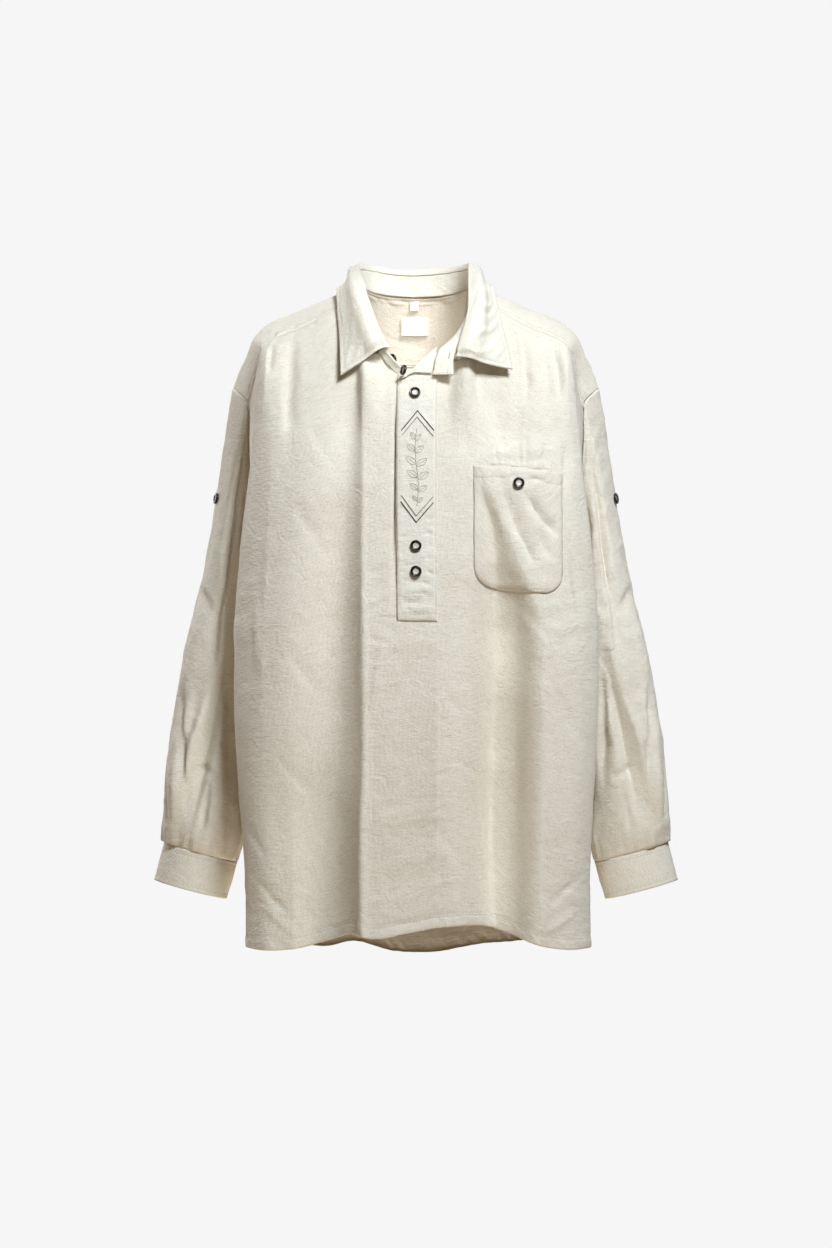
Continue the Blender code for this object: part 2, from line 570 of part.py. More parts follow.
def on_panel(panel, x, z, out, start=(0.0, -0.25)):
    """Points of a panel's face by distance across and level, moved out from it, and the way it faces."""
    x = np.asarray(x, float)
    z = np.asarray(z, float)
    share = np.full(x.size, start[0])
    height = np.full(x.size, start[1])
    step = 0.001

    def face(share, height):
        return panel(share, height[None])[0]

    for _ in range(9):
        here = face(share, height)
        by_share = (face(share + step, height) - here) / step
        by_height = (face(share, height + step) - here) / step
        off_x = x.ravel() - here[:, 0]
        off_z = z.ravel() - here[:, 2]
        size = by_share[:, 0] * by_height[:, 2] - by_share[:, 2] * by_height[:, 0]
        share = share + np.clip((off_x * by_height[:, 2] - off_z * by_height[:, 0]) / size, -0.2, 0.2)
        height = height + np.clip((off_z * by_share[:, 0] - off_x * by_share[:, 2]) / size, -0.1, 0.1)
    here = face(share, height)
    facing = np.cross(face(share + step, height) - here, face(share, height + step) - here)
    facing /= np.linalg.norm(facing, axis=1)[:, None]
    out = np.broadcast_to(out, x.shape).ravel()[:, None]
    return (here + out * facing).reshape(*x.shape, 3), facing.reshape(*x.shape, 3)


def collar_rows():
    """The collar's lines from end to end: the stand's seam edge, the roll, and the way up from one to the other."""
    stand = np.array(COLLAR_STAND)
    low = stand[:, :3]
    roll = stand[:, 3:]
    return low, roll, (roll - low) / np.linalg.norm(roll - low, axis=1)[:, None]


def stand_points(along, up):
    """The stand's inner face: along from the right end to the left, up from its seam to just under the roll."""
    low, roll, rise = collar_rows()
    under = np.full(len(low), ROLL_HEIGHT + 0.0008)
    under[[0, 1, 2, -1]] = (0, 0, 0.003, 0)
    knots = np.linspace(0, 1, len(low))
    top = spline(knots, roll - rise * under[:, None], along)
    low = spline(knots, low, along)
    return low + (top - low) * np.asarray(up)[:, None, None]


def fall_points(along, across):
    """The fall's upper face: along from the right point to the left, across from under the roll to its edge."""
    _, roll, rise = collar_rows()
    roll = roll[3:-1]
    rise = rise[3:-1]
    middle, edge = np.array(COLLAR_FALL)[:, :3], np.array(COLLAR_FALL)[:, 3:]
    out = (middle - roll) / np.linalg.norm(middle - roll, axis=1)[:, None]
    facing = np.cross(np.gradient(roll, axis=0), out)
    facing /= np.linalg.norm(facing, axis=1)[:, None]
    lines = np.stack([roll - ROLL_HEIGHT * rise, roll - 0.45 * ROLL_HEIGHT * rise,
                      roll + 0.0030 * facing, roll - 0.0035 * rise + 0.0070 * facing,
                      roll + 0.5 * (middle - roll) + FALL_BULGE * facing, middle, edge])
    knots = np.linspace(0, 1, len(roll))
    lines = np.stack([spline(knots, line, along) for line in lines])
    return spline(np.array([0, 0.05, 0.10, 0.17, 0.36, 0.58, 1.0]), lines, across)


def make_collar():
    """The stand and the fall of the collar."""
    cloth("collar_stand", stand_points(np.linspace(0, 1, 49), np.linspace(0, 1, 4)), wall=DOUBLE_CLOTH)
    across = np.array([0, 0.05, 0.075, 0.10, 0.135, 0.17, 0.26, 0.36, 0.47, 0.58, 0.79, 1.0])
    cloth("collar_fall", fall_points(np.linspace(0, 1, 41), across), wall=DOUBLE_CLOTH)


def make_plackets():
    """The over band with its slanted top, and the under band behind the slit."""
    x = np.linspace(PLACKET_LEFT, PLACKET_RIGHT, 7)
    edge = columns(("x", "z"), PLACKET_TOP)
    top = spline(edge["x"], edge["z"], x)
    down = np.linspace(0, 1, 18)[:, None]
    z = PLACKET_BOTTOM + (top - PLACKET_BOTTOM) * down
    foot = np.minimum(np.interp(x, [-0.0106, 0.003, 0.025], [-0.1110, -0.1080, -0.1095]), top - 0.0015)
    turned_x = x - FLAP_NARROWING * (x - PLACKET_LEFT) / (PLACKET_RIGHT - PLACKET_LEFT) * FLAP_DOWN[:, None]
    x = np.concatenate([np.broadcast_to(x, z.shape), turned_x])
    z = np.concatenate([z, top + (foot - top) * FLAP_DOWN[:, None]])
    out = np.concatenate([np.full(len(down), 0.0028), FLAP_OUT])[:, None]
    points, _ = on_panel(front_points, x, z, out)
    cloth("placket_over", points, wall=DOUBLE_CLOTH)
    x = np.linspace(-0.0235, 0.0180, 5)
    z = np.broadcast_to(PLACKET_BOTTOM + 0.006 + (-0.120 - PLACKET_BOTTOM - 0.006) * down, (18, 5))
    points, _ = on_panel(front_points, np.broadcast_to(x, z.shape), z, -CLOTH - SEAM_GAP)
    cloth("placket_under", points, wall=DOUBLE_CLOTH)


def make_pocket():
    """The patch pocket, with its rounded foot and a mouth that stands a little open."""
    width = POCKET_RIGHT - POCKET_LEFT
    across = np.array([0, 0.02, 0.06, 0.12, 0.2, 0.35, 0.5, 0.65, 0.8, 0.88, 0.94, 0.98, 1.0])
    x = POCKET_LEFT + width * across
    side = np.clip(POCKET_CORNER - np.minimum(across, 1 - across) * width, 0, POCKET_CORNER)
    mouth = np.interp(across, [0, 1], POCKET_MOUTH)
    foot = np.interp(across, [0, 1], POCKET_FOOT)
    foot = foot + POCKET_CORNER - np.sqrt(POCKET_CORNER**2 - side**2)
    down = np.linspace(0, 1, 10)[:, None]
    z = foot + (mouth - foot) * down
    puff = 0.0030 * np.sin(np.pi * across) ** 2 * down**3
    points, _ = on_panel(front_points, np.broadcast_to(x, z.shape), z, CLOTH + 0.0011 + puff)
    cloth("pocket", points)


def make_labels():
    """The woven label and the size tab inside the back of the neck, both left bare."""
    for name, left, right, top, foot in (("label", -0.019, 0.015, -0.023, -0.0455),
                                         ("size_tab", -0.0075, 0.0034, -0.0035, -0.0150)):
        x, z = np.meshgrid(np.linspace(left, right, 4), np.linspace(top, foot, 4))
        points, _ = on_panel(yoke_points, x, z, -0.0028, (0.0, 0.0))
        cloth(name, points, wall=0.001, colour=TAPE)


def button(name, place, facing):
    """A turned button at a place, its back towards the cloth."""
    mesh = bpy.data.meshes.new(name)
    points = [(radius, 0, height) for radius, height in BUTTON_PROFILE]
    mesh.from_pydata(points, [(i, i + 1) for i in range(len(points) - 1)], [])
    made = link(name, mesh, HORN, 0.35)
    turn = made.modifiers.new("turn", "SCREW")
    turn.axis = "Z"
    turn.steps = BUTTON_STEPS
    turn.render_steps = BUTTON_STEPS
    turn.use_merge_vertices = True
    turn.merge_threshold = 0.00005
    made.rotation_mode = "QUATERNION"
    made.rotation_quaternion = Vector(facing).to_track_quat("Z", "Y")
    made.location = Vector(place)


def make_buttons():
    """Every button: placket, pocket, stand, sleeve tabs and cuffs."""
    for row in FRONT_BUTTONS:
        size = dict(zip(BUTTON_COLUMNS, row))
        places, facings = on_panel(front_points, np.array([size["x"]]), np.array([size["z"]]), size["out"])
        button(size["name"], places[0], facings[0])
    button("button_placket_top", TOP_BUTTON, TOP_BUTTON_FACES)
    grid = stand_points(np.array([0.085, 0.090]), np.array([0.55, 0.60]))
    facing = np.cross(grid[0, 1] - grid[0, 0], grid[1, 0] - grid[0, 0])
    facing = facing / np.linalg.norm(facing)
    button("button_stand", grid[0, 0] + 0.0004 * facing, facing)
    grid = sleeve_points(np.array([0.035, 0.040]), np.array([0.225, 0.230]))
    facing = np.cross(grid[0, 1] - grid[0, 0], grid[1, 0] - grid[0, 0])
    facing = facing / np.linalg.norm(facing)
    for name, mirror in (("button_sleeve_left", 1), ("button_sleeve_right", -1)):
        button(name, (grid[0, 0] + 0.0004 * facing) * [mirror, 1, 1], facing * [mirror, 1, 1])
    size = dict(zip(SLEEVE_COLUMNS, CUFF_SECTIONS[1]))
    near = ring(size, np.array([0.84]))[0]
    facing = near - [size["x"], size["y"], size["z"]]
    facing = facing / np.linalg.norm(facing)
    near = near + 0.0040 * facing
    for name, mirror in (("button_cuff_left", 1), ("button_cuff_right", -1)):
        button(name, near * [mirror, 1, 1], facing * [mirror, 1, 1])


for leftover in list(bpy.data.objects):
    bpy.data.objects.remove(leftover)
GARMENT = bpy.data.collections.new("overshirt")
bpy.context.scene.collection.children.link(GARMENT)
make_front()
make_back()
make_yoke()
make_sleeves()
make_cuffs()
make_collar()
make_plackets()
make_pocket()
make_labels()
make_buttons()
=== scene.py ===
# %% [markdown]
# # A linen popover overshirt, filled out as if worn
# The real shirt is a dozen pieces of washed linen: a front with a half placket, a back, a yoke,
# two sleeves with cuffs, a stand with a pointed fall, and a patch pocket.
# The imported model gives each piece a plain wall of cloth. Here each wall is made again on a finer
# grid, so that it can carry creases, rolled hems, rows of stitches and the weave.

import bmesh
import bpy
import numpy as np
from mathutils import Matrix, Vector


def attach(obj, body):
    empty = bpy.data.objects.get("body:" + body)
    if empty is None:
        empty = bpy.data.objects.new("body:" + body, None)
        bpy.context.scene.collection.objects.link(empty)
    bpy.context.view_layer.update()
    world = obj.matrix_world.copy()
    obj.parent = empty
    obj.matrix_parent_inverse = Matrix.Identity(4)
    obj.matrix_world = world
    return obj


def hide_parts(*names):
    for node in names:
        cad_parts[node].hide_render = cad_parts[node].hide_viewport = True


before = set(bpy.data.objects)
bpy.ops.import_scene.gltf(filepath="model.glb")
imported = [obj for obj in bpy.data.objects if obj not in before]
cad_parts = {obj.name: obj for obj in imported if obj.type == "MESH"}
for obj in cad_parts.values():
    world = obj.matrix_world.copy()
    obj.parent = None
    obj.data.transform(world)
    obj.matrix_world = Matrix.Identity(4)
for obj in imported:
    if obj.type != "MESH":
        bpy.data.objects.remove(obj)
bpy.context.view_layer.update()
print("nodes:", len(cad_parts))

# %% [markdown]
# ## Sizes and section tables
# These are the shirt's own measurements, in metres, the same as those of its solids.
# A shirt pattern could be draped by simulation, but the worn shape is known from the outside, so
# tables of sections are simpler to check and always give the same result.

# %% Driving sizes
CLOTH = 0.0016            # wall of one layer of heavy linen
DOUBLE_CLOTH = 0.0022     # wall of collar, stand, placket and cuff, two layers and a stiffener
SEAM_GAP = 0.0003         # space between two pieces at a seam
ARMPIT_Z = -0.330         # level of the underarm, where sleeve, front and back meet
LAST_SHARE = 1 - 0.0006   # a panel's last column, just short of the armhole
PLACKET_LEFT = -0.0218    # free edge of the placket band, on the wearer's right
PLACKET_RIGHT = 0.0250    # sewn edge of the placket band
PLACKET_BOTTOM = -0.402
SLOT_HALF = 0.062         # half the slit under the placket, as a share of the front's half width
ROLL_HEIGHT = 0.0052      # how far the stand stays under the roll of the collar
FALL_BULGE = 0.0080       # how far the fall bulges out between the roll and its middle
CUFF_TILT = 0.26          # radians by which the cuffs turn outwards
# Where a section's points lie along it: 0 at the middle, 1 at the side seam
FRONT_SHARES = np.array([0.0, 0.29, 0.487, 0.624, 0.711, 0.80, 0.91, 1.0])
BACK_SHARES = np.array([0.0, 0.32, 0.60, 0.80, 0.91, 1.0])

# Share of the way from the middle to the rolled edge (first five), then from there to the seam
FRONT_ACROSS = np.array([0.0, 0.455, 0.750, 0.932, 1.0])
FRONT_BACKWARD = np.array([0.0, 0.07, 0.29, 0.63, 1.0])
ROLL_ACROSS = np.array([0.43, 0.88, 1.0])
ROLL_BACKWARD = np.array([0.30, 0.68, 1.0])
BACK_ACROSS = np.array([0.0, 0.44, 0.765, 0.935, 0.99, 1.0])
BACK_FORWARD = np.array([0.0, 0.06, 0.22, 0.47, 0.73, 1.0])
print("cloth", CLOTH, "m thick, stiffened pieces", DOUBLE_CLOTH, "m")

# %% [markdown]
# The body is cut as a front and a back, so each has its own level rows, and both end on one side seam.

# %% Sections of the front and the back
# Front sections, hem to chest: level, depth of the middle, rolled edge, seam edge
FRONT_COLUMNS = ("z", "middle_y", "roll_x", "roll_y", "seam_x", "seam_y")
FRONT_SECTIONS = (
    (-0.830, -0.148, 0.2085, -0.080, 0.190, 0.012),
    (-0.700, -0.150, 0.2085, -0.081, 0.190, 0.012),
    (-0.600, -0.152, 0.2130, -0.082, 0.190, 0.012),
    (-0.500, -0.153, 0.2175, -0.083, 0.188, 0.012),
    (-0.430, -0.151, 0.2180, -0.084, 0.186, 0.013),
    (-0.330, -0.144, 0.2120, -0.085, 0.186, 0.015),
    (-0.200, -0.126, 0.1960, -0.082, 0.2015, -0.021),
)

# Back sections, hem to shoulder blades: level, depth of the middle, seam edge
BACK_COLUMNS = ("z", "middle_y", "seam_x", "seam_y")
BACK_SECTIONS = (
    (-0.830, 0.120, 0.190, 0.012),
    (-0.700, 0.118, 0.190, 0.012),
    (-0.600, 0.116, 0.190, 0.012),
    (-0.500, 0.115, 0.188, 0.012),
    (-0.430, 0.116, 0.186, 0.013),
    (-0.330, 0.120, 0.186, 0.015),
    (-0.200, 0.118, 0.203, 0.052),
)
print(len(FRONT_SECTIONS), "front sections and", len(BACK_SECTIONS), "back sections")

# %% [markdown]
# Front, yoke and back share these lines, so they meet however finely each one is divided.

# %% Seams over the shoulder and round the neck
# Columns: share of the half width, 0 at the middle and 1 at the armhole, then x, y and z
FRONT_NECKLINE = (
    (0.000, 0.000, -0.1000, -0.116),
    (0.070, 0.024, -0.0960, -0.105),
    (0.125, 0.042, -0.0840, -0.083),
    (0.175, 0.056, -0.0660, -0.057),
    (0.215, 0.064, -0.0480, -0.032),
    (0.250, 0.067, -0.0310, -0.013),
)
BACK_NECKLINE = (
    (0.000, 0.000, 0.066, -0.001),
    (0.060, 0.028, 0.061, 0.000),
    (0.120, 0.050, 0.044, 0.002),
    (0.180, 0.064, 0.014, 0.004),
    (0.215, 0.067, -0.008, -0.001),
    (0.250, 0.067, -0.031, -0.013),
)
FRONT_SEAM = (
    (0.250, 0.067, -0.031, -0.013),
    (0.330, 0.098, -0.032, -0.025),
    (0.430, 0.132, -0.034, -0.043),
    (0.530, 0.158, -0.037, -0.054),
    (0.624, 0.176, -0.042, -0.063),
    (0.711, 0.186, -0.046, -0.074),
    (0.800, 0.192, -0.036, -0.098),
    (0.910, 0.198, -0.028, -0.120),
    (1.000, 0.2035, -0.024, -0.138),
)
NECK_MIDDLE = (
    (0.000, 0.000, 0.082, -0.034),
    (0.060, 0.026, 0.079, -0.033),
    (0.120, 0.046, 0.068, -0.028),
    (0.180, 0.066, 0.046, -0.016),
    (0.215, 0.071, 0.030, -0.006),
    (0.250, 0.074, 0.012, 0.003),
)
RIDGE = (
    (0.250, 0.074, 0.012, 0.003),
    (0.330, 0.099, 0.012, -0.003),
    (0.430, 0.133, 0.012, -0.017),
    (0.530, 0.161, 0.012, -0.028),
    (0.624, 0.184, 0.012, -0.040),
    (0.711, 0.199, 0.012, -0.056),
    (0.800, 0.209, 0.012, -0.077),
    (0.910, 0.2175, 0.012, -0.099),
    (1.000, 0.2235, 0.012, -0.117),
)
BACK_SEAM = (
    (0.000, 0.000, 0.100, -0.083),
    (0.250, 0.066, 0.098, -0.084),
    (0.430, 0.122, 0.091, -0.088),
    (0.624, 0.168, 0.080, -0.096),
    (0.800, 0.194, 0.068, -0.111),
    (1.000, 0.206, 0.056, -0.134),
)
# Distance travelled at each curve, from the chest over the shoulder to the blades
CHEST, FRONT_EDGE, SHOULDER, BACK_EDGE = -0.200, -0.040, 0.008, 0.110
BLADE_DROP = 0.116
print("front seam meets the armhole at", FRONT_SEAM[-1][1:])

# %% [markdown]
# Cloth that hangs free falls into a few long folds, and the hem follows them in a slow curve.

# %% Long folds and hems
# Folds: place and half width at the top and the foot, depth, and how steep the side to the middle is.
# The front's two longest folds are in LONG_FOLDS, further down.
FOLD_COLUMNS = ("top_z", "foot_z", "top_x", "foot_x", "top_half", "foot_half",
                "top_depth", "foot_depth", "centre_side")
FRONT_FOLDS = (
    (-0.080, -0.260, 0.124, 0.118, 0.010, 0.012, 0.004, 0.001, 1.00),
    (-0.075, -0.300, 0.156, 0.166, 0.007, 0.012, 0.004, 0.000, 1.00),
    (-0.070, -0.240, -0.147, -0.150, 0.007, 0.012, 0.004, 0.000, 1.00),
)
BACK_FOLDS = (
    (-0.160, -0.830, -0.090, -0.112, 0.016, 0.024, 0.002, 0.022, 1.00),
    (-0.240, -0.830, 0.010, 0.022, 0.018, 0.026, 0.001, 0.016, 1.00),
    (-0.160, -0.830, 0.100, 0.120, 0.016, 0.024, 0.002, 0.022, 1.00),
)

# Hem levels by distance across, seen from the front
HEM_COLUMNS = ("x", "z")
FRONT_HEM = (
    (-0.215, -0.790), (-0.190, -0.793), (-0.140, -0.789), (-0.105, -0.779), (-0.080, -0.771),
    (-0.052, -0.775), (0.010, -0.764), (0.070, -0.761), (0.108, -0.769), (0.140, -0.783),
    (0.180, -0.791), (0.215, -0.791),
)
BACK_HEM = (
    (-0.190, -0.797), (-0.110, -0.806), (-0.080, -0.802), (-0.030, -0.815), (0.025, -0.815),
    (0.080, -0.806), (0.120, -0.800), (0.190, -0.797),
)
print(len(FRONT_FOLDS), "folds in front and", len(BACK_FOLDS), "behind")

# %% [markdown]
# A sleeve is sewn into a tube, so ovals along its length describe it as worn.

# %% Sleeves and cuffs
# Sleeve sections below the underarm: middle, half width, half depth, tilt
SLEEVE_COLUMNS = ("x", "y", "z", "half_width", "half_depth", "tilt")
SLEEVE_SECTIONS = (
    (0.2275, 0.024, -0.350, 0.0345, 0.057, 0.00),
    (0.2370, 0.019, -0.430, 0.0405, 0.060, 0.00),
    (0.2440, 0.016, -0.500, 0.0440, 0.057, 0.00),
    (0.2510, 0.012, -0.560, 0.0470, 0.052, 0.03),
    (0.2550, 0.009, -0.615, 0.0480, 0.047, 0.08),
    (0.2580, 0.008, -0.655, 0.0490, 0.040, 0.18),
    (0.2630, 0.008, -0.683, 0.0465, 0.029, CUFF_TILT),
)
CUFF_SECTIONS = (
    (0.2631, 0.008, -0.6834, 0.0465, 0.029, CUFF_TILT),
    (0.2690, 0.0065, -0.7060, 0.0465, 0.029, CUFF_TILT),
    (0.2755, 0.005, -0.7285, 0.0460, 0.0285, CUFF_TILT),
)
print(len(SLEEVE_SECTIONS), "sleeve sections and", len(CUFF_SECTIONS), "cuff sections")

# %% [markdown]
# The collar's two pieces run between lines in space: the neck seam, the roll, the fall's middle and edge.

# %% Collar
# Collar stand from the wearer's right end round the neck to the left end.
# Columns: x, y and z of the seam edge, then of the top edge
COLLAR_STAND = (
    (-0.0220, -0.0965, -0.1055, -0.0130, -0.0970, -0.1070),
    (-0.0270, -0.0945, -0.1005, -0.0165, -0.0990, -0.1000),
    (-0.0345, -0.0900, -0.0920, -0.0240, -0.1000, -0.0885),
    (-0.0425, -0.0830, -0.0815, -0.0315, -0.0970, -0.0770),
    (-0.0500, -0.0740, -0.0685, -0.0395, -0.0910, -0.0630),
    (-0.0560, -0.0650, -0.0555, -0.0475, -0.0830, -0.0440),
    (-0.0635, -0.0470, -0.0305, -0.0560, -0.0660, -0.0170),
    (-0.0665, -0.0300, -0.0115, -0.0615, -0.0450, 0.0050),
    (-0.0668, -0.0080, 0.0005, -0.0663, -0.0150, 0.0240),
    (-0.0637, 0.0140, 0.0052, -0.0675, 0.0180, 0.0340),
    (-0.0497, 0.0437, 0.0032, -0.0550, 0.0480, 0.0358),
    (-0.0280, 0.0607, 0.0012, -0.0290, 0.0630, 0.0330),
    (0.0000, 0.0657, 0.0002, 0.0000, 0.0660, 0.0320),
    (0.0280, 0.0607, 0.0012, 0.0290, 0.0620, 0.0335),
    (0.0497, 0.0437, 0.0032, 0.0500, 0.0500, 0.0350),
    (0.0637, 0.0140, 0.0052, 0.0618, 0.0200, 0.0345),
    (0.0665, -0.0080, 0.0005, 0.0623, -0.0090, 0.0300),
    (0.0650, -0.0300, -0.0110, 0.0620, -0.0360, 0.0140),
    (0.0605, -0.0490, -0.0335, 0.0618, -0.0600, -0.0050),
    (0.0545, -0.0620, -0.0500, 0.0616, -0.0770, -0.0220),
    (0.0460, -0.0740, -0.0610, 0.0603, -0.0880, -0.0370),
    (0.0360, -0.0870, -0.0700, 0.0580, -0.0960, -0.0520),
    (0.0280, -0.0960, -0.0780, 0.0545, -0.1020, -0.0710),
    (0.0240, -0.1020, -0.0880, 0.0506, -0.1070, -0.0903),
    (0.0201, -0.1080, -0.1086, 0.0445, -0.1110, -0.1090),
)
# Collar fall, one row for each stand row but the first three and the last.
# Columns: x, y and z of its middle, then of its edge
COLLAR_FALL = (
    (-0.0600, -0.1050, -0.0900, -0.0900, -0.1040, -0.1090),
    (-0.0650, -0.1000, -0.0740, -0.0910, -0.0900, -0.0830),
    (-0.0700, -0.0900, -0.0540, -0.0924, -0.0720, -0.0580),
    (-0.0770, -0.0690, -0.0270, -0.0950, -0.0480, -0.0290),
    (-0.0820, -0.0420, -0.0030, -0.0963, -0.0260, -0.0100),
    (-0.0850, -0.0080, 0.0130, -0.0970, -0.0030, 0.0040),
    (-0.0840, 0.0280, 0.0180, -0.0935, 0.0320, 0.0050),
    (-0.0680, 0.0680, 0.0150, -0.0750, 0.0740, -0.0090),
    (-0.0370, 0.0850, 0.0100, -0.0410, 0.0910, -0.0140),
    (0.0000, 0.0890, 0.0080, 0.0000, 0.0950, -0.0160),
    (0.0370, 0.0850, 0.0100, 0.0410, 0.0910, -0.0140),
    (0.0680, 0.0680, 0.0150, 0.0740, 0.0740, -0.0090),
    (0.0830, 0.0300, 0.0180, 0.0920, 0.0340, 0.0060),
    (0.0840, -0.0060, 0.0150, 0.0950, -0.0030, 0.0065),
    (0.0830, -0.0330, 0.0020, 0.0970, -0.0240, -0.0080),
    (0.0840, -0.0540, -0.0130, 0.0995, -0.0400, -0.0220),
    (0.0850, -0.0720, -0.0310, 0.1025, -0.0540, -0.0380),
    (0.0860, -0.0840, -0.0460, 0.1055, -0.0680, -0.0540),
    (0.0860, -0.0940, -0.0610, 0.1085, -0.0780, -0.0670),
    (0.0840, -0.1020, -0.0780, 0.1115, -0.0880, -0.0830),
    (0.0800, -0.1080, -0.0950, 0.1153, -0.0970, -0.1013),
)
print(len(COLLAR_STAND), "rows along the stand and", len(COLLAR_FALL), "along the fall")

# %% [markdown]
# These lie on the front, so they need only places across and up.

# %% Placket, pocket and buttons
# Top edge of the placket band, by distance across, and the pocket's mouth and foot
PLACKET_TOP = ((-0.022, -0.114), (-0.0106, -0.111), (0.0034, -0.0964), (0.0160, -0.0850), (0.025, -0.0785))
# The over band's top end is turned out and hangs down again: share of the way down, distance out
FLAP_DOWN = np.array([-0.09, -0.09, 0.03, 0.35, 0.68, 1.0])
FLAP_OUT = np.array([0.0032, 0.0050, 0.0058, 0.0056, 0.0054, 0.0052])
FLAP_NARROWING = 0.0065
POCKET_LEFT, POCKET_RIGHT, POCKET_CORNER = 0.0677, 0.1730, 0.025
POCKET_MOUTH = (-0.2184, -0.2270)
POCKET_FOOT = (-0.3610, -0.3710)
# Buttons on the front, by distance across and level, and the face they lie on
BUTTON_COLUMNS = ("name", "x", "z", "out")
FRONT_BUTTONS = (
    ("button_placket_1", -0.0012, -0.1318, 0.0031),
    ("button_placket_2", 0.0000, -0.3135, 0.0031),
    ("button_placket_3", 0.0000, -0.3434, 0.0031),
    ("button_pocket", 0.1208, -0.2395, 0.0055),
)
# The top button hangs edge-on at the foot of the neck opening
TOP_BUTTON = (-0.0133, -0.1098, -0.1041)
TOP_BUTTON_FACES = (-0.90, -0.38, 0.20)
print("placket", round(PLACKET_RIGHT - PLACKET_LEFT, 4), "m wide, pocket", round(POCKET_RIGHT - POCKET_LEFT, 4))

# %% [markdown]
# ## Surfaces worked out from the tables
# Each panel is a smooth surface of two parameters: how far across, and how far up.
# A cubic spline through the tables' rows gives it. It is the same surface as that of the solid, so
# the fine cloth lies exactly where the plain wall does.

# %% Splines and sections
def spline(knots, values, at, tame=False):
    """A smooth curve through values at the knots; a tame one never swings past them."""
    knots = np.asarray(knots, float)
    values = np.asarray(values, float)
    at = np.asarray(at, float)
    lift = (slice(None),) + (None,) * (values.ndim - 1)
    gaps = np.diff(knots)[lift]
    rises = np.diff(values, axis=0) / gaps
    middle = (rises[:-1] * gaps[1:] + rises[1:] * gaps[:-1]) / (gaps[:-1] + gaps[1:])
    if tame:
        least = 3 * np.minimum(np.abs(rises[:-1]), np.abs(rises[1:])) * (rises[:-1] * rises[1:] > 0)
        middle = np.clip(middle, -least, least)
    slopes = np.concatenate([rises[:1], middle, rises[-1:]])
    piece = np.clip(np.searchsorted(knots, at, "right") - 1, 0, len(knots) - 2)
    gap = np.diff(knots)[piece]
    f = ((at - knots[piece]) / gap)[lift]
    gap = gap[lift]
    return (values[piece] * (2 * f**3 - 3 * f**2 + 1) + slopes[piece] * gap * (f**3 - 2 * f**2 + f)
            + values[piece + 1] * (3 * f**2 - 2 * f**3) + slopes[piece + 1] * gap * (f**3 - f**2))


def columns(names, rows):
    """A table's columns as arrays, by name."""
    return dict(zip(names, np.array(rows, float).T))


def curve(rows, shares):
    """Points of a curve table at shares from -1 to 1; the wearer's right is its mirror image."""
    table = np.array(rows, float)
    points = spline(table[:, 0], table[:, 1:], np.abs(shares))
    points[:, 0] *= np.sign(shares) + (np.asarray(shares) == 0)
    return points

def front_section(row, shares):
    """One front section as points, from its row of sizes."""
    back = row["seam_y"] - row["roll_y"]
    x = np.concatenate([row["roll_x"] * FRONT_ACROSS,
                        row["roll_x"] + (row["seam_x"] - row["roll_x"]) * ROLL_ACROSS])
    y = np.concatenate([row["middle_y"] + (row["roll_y"] - row["middle_y"]) * FRONT_BACKWARD,
                        row["roll_y"] + back * ROLL_BACKWARD])
    return section(FRONT_SHARES, x, y, row["z"], shares)


def back_section(row, shares):
    """One back section as points, from its row of sizes."""
    x = row["seam_x"] * BACK_ACROSS
    y = row["middle_y"] + (row["seam_y"] - row["middle_y"]) * BACK_FORWARD
    return section(BACK_SHARES, x, y, row["z"], shares)


def section(knots, x, y, z, shares):
    """Half a section made whole by mirroring it, and read at the shares."""
    knots = np.concatenate([-knots[:0:-1], knots])
    points = np.stack([np.concatenate([-x[:0:-1], x]), np.concatenate([y[:0:-1], y])], axis=1)
    flat = spline(knots, points, shares)
    return np.column_stack([flat, np.full(len(flat), z)])


def sections(names, rows, maker, shares):
    """All sections of a table, stacked from the hem up."""
    return np.stack([maker(dict(zip(names, row)), shares) for row in rows])

print("side of the hem:", sections(FRONT_COLUMNS, FRONT_SECTIONS, front_section, np.array([1.0]))[0, 0])

# %% [markdown]
# A fold is a bell-shaped valley pressed into the panel, which is simpler than a simulated drape.

# %% Folds and the shoulder
def folds_at(rows, x, z):
    """Depth of the long folds at points of a panel: each is a rounded valley that widens downwards."""
    depth = np.zeros(np.shape(x))
    for row in rows:
        fold = dict(zip(FOLD_COLUMNS, row))
        along = np.clip((fold["top_z"] - z) / (fold["top_z"] - fold["foot_z"]), 0, 1)
        place = fold["top_x"] + (fold["foot_x"] - fold["top_x"]) * along
        half = fold["top_half"] + (fold["foot_half"] - fold["top_half"]) * along
        deep = fold["top_depth"] + (fold["foot_depth"] - fold["top_depth"]) * along
        away = (x - place) / half
        away = np.where(away * np.sign(-place) > 0, away / fold["centre_side"], away)
        start = np.clip((fold["top_z"] + 0.02 - z) / 0.06, 0, 1)
        depth += deep * start * np.exp(-away**2)
    return depth

def over_shoulder(shares):
    """Rows of points that front, yoke and back share, from the chest over the shoulder."""
    neck = np.abs(shares) < FRONT_SEAM[0][0]
    outer = np.where(neck, FRONT_SEAM[0][0] * np.where(shares < 0, -1, 1), shares)
    pick = neck[:, None]
    front_edge = np.where(pick, curve(FRONT_NECKLINE, shares), curve(FRONT_SEAM, outer))
    yoke_edge = np.where(pick, curve(BACK_NECKLINE, shares), curve(FRONT_SEAM, outer))
    shoulder = np.where(pick, curve(NECK_MIDDLE, shares), curve(RIDGE, outer))
    return front_edge, yoke_edge, shoulder, curve(BACK_SEAM, shares)

print("depth of a fold at the hem:", folds_at(BACK_FOLDS, np.array([0.12]), np.array([-0.8])).round(4))

# %% [markdown]
# Each panel's columns are splines through its rows, eased on to one side seam below the underarm.

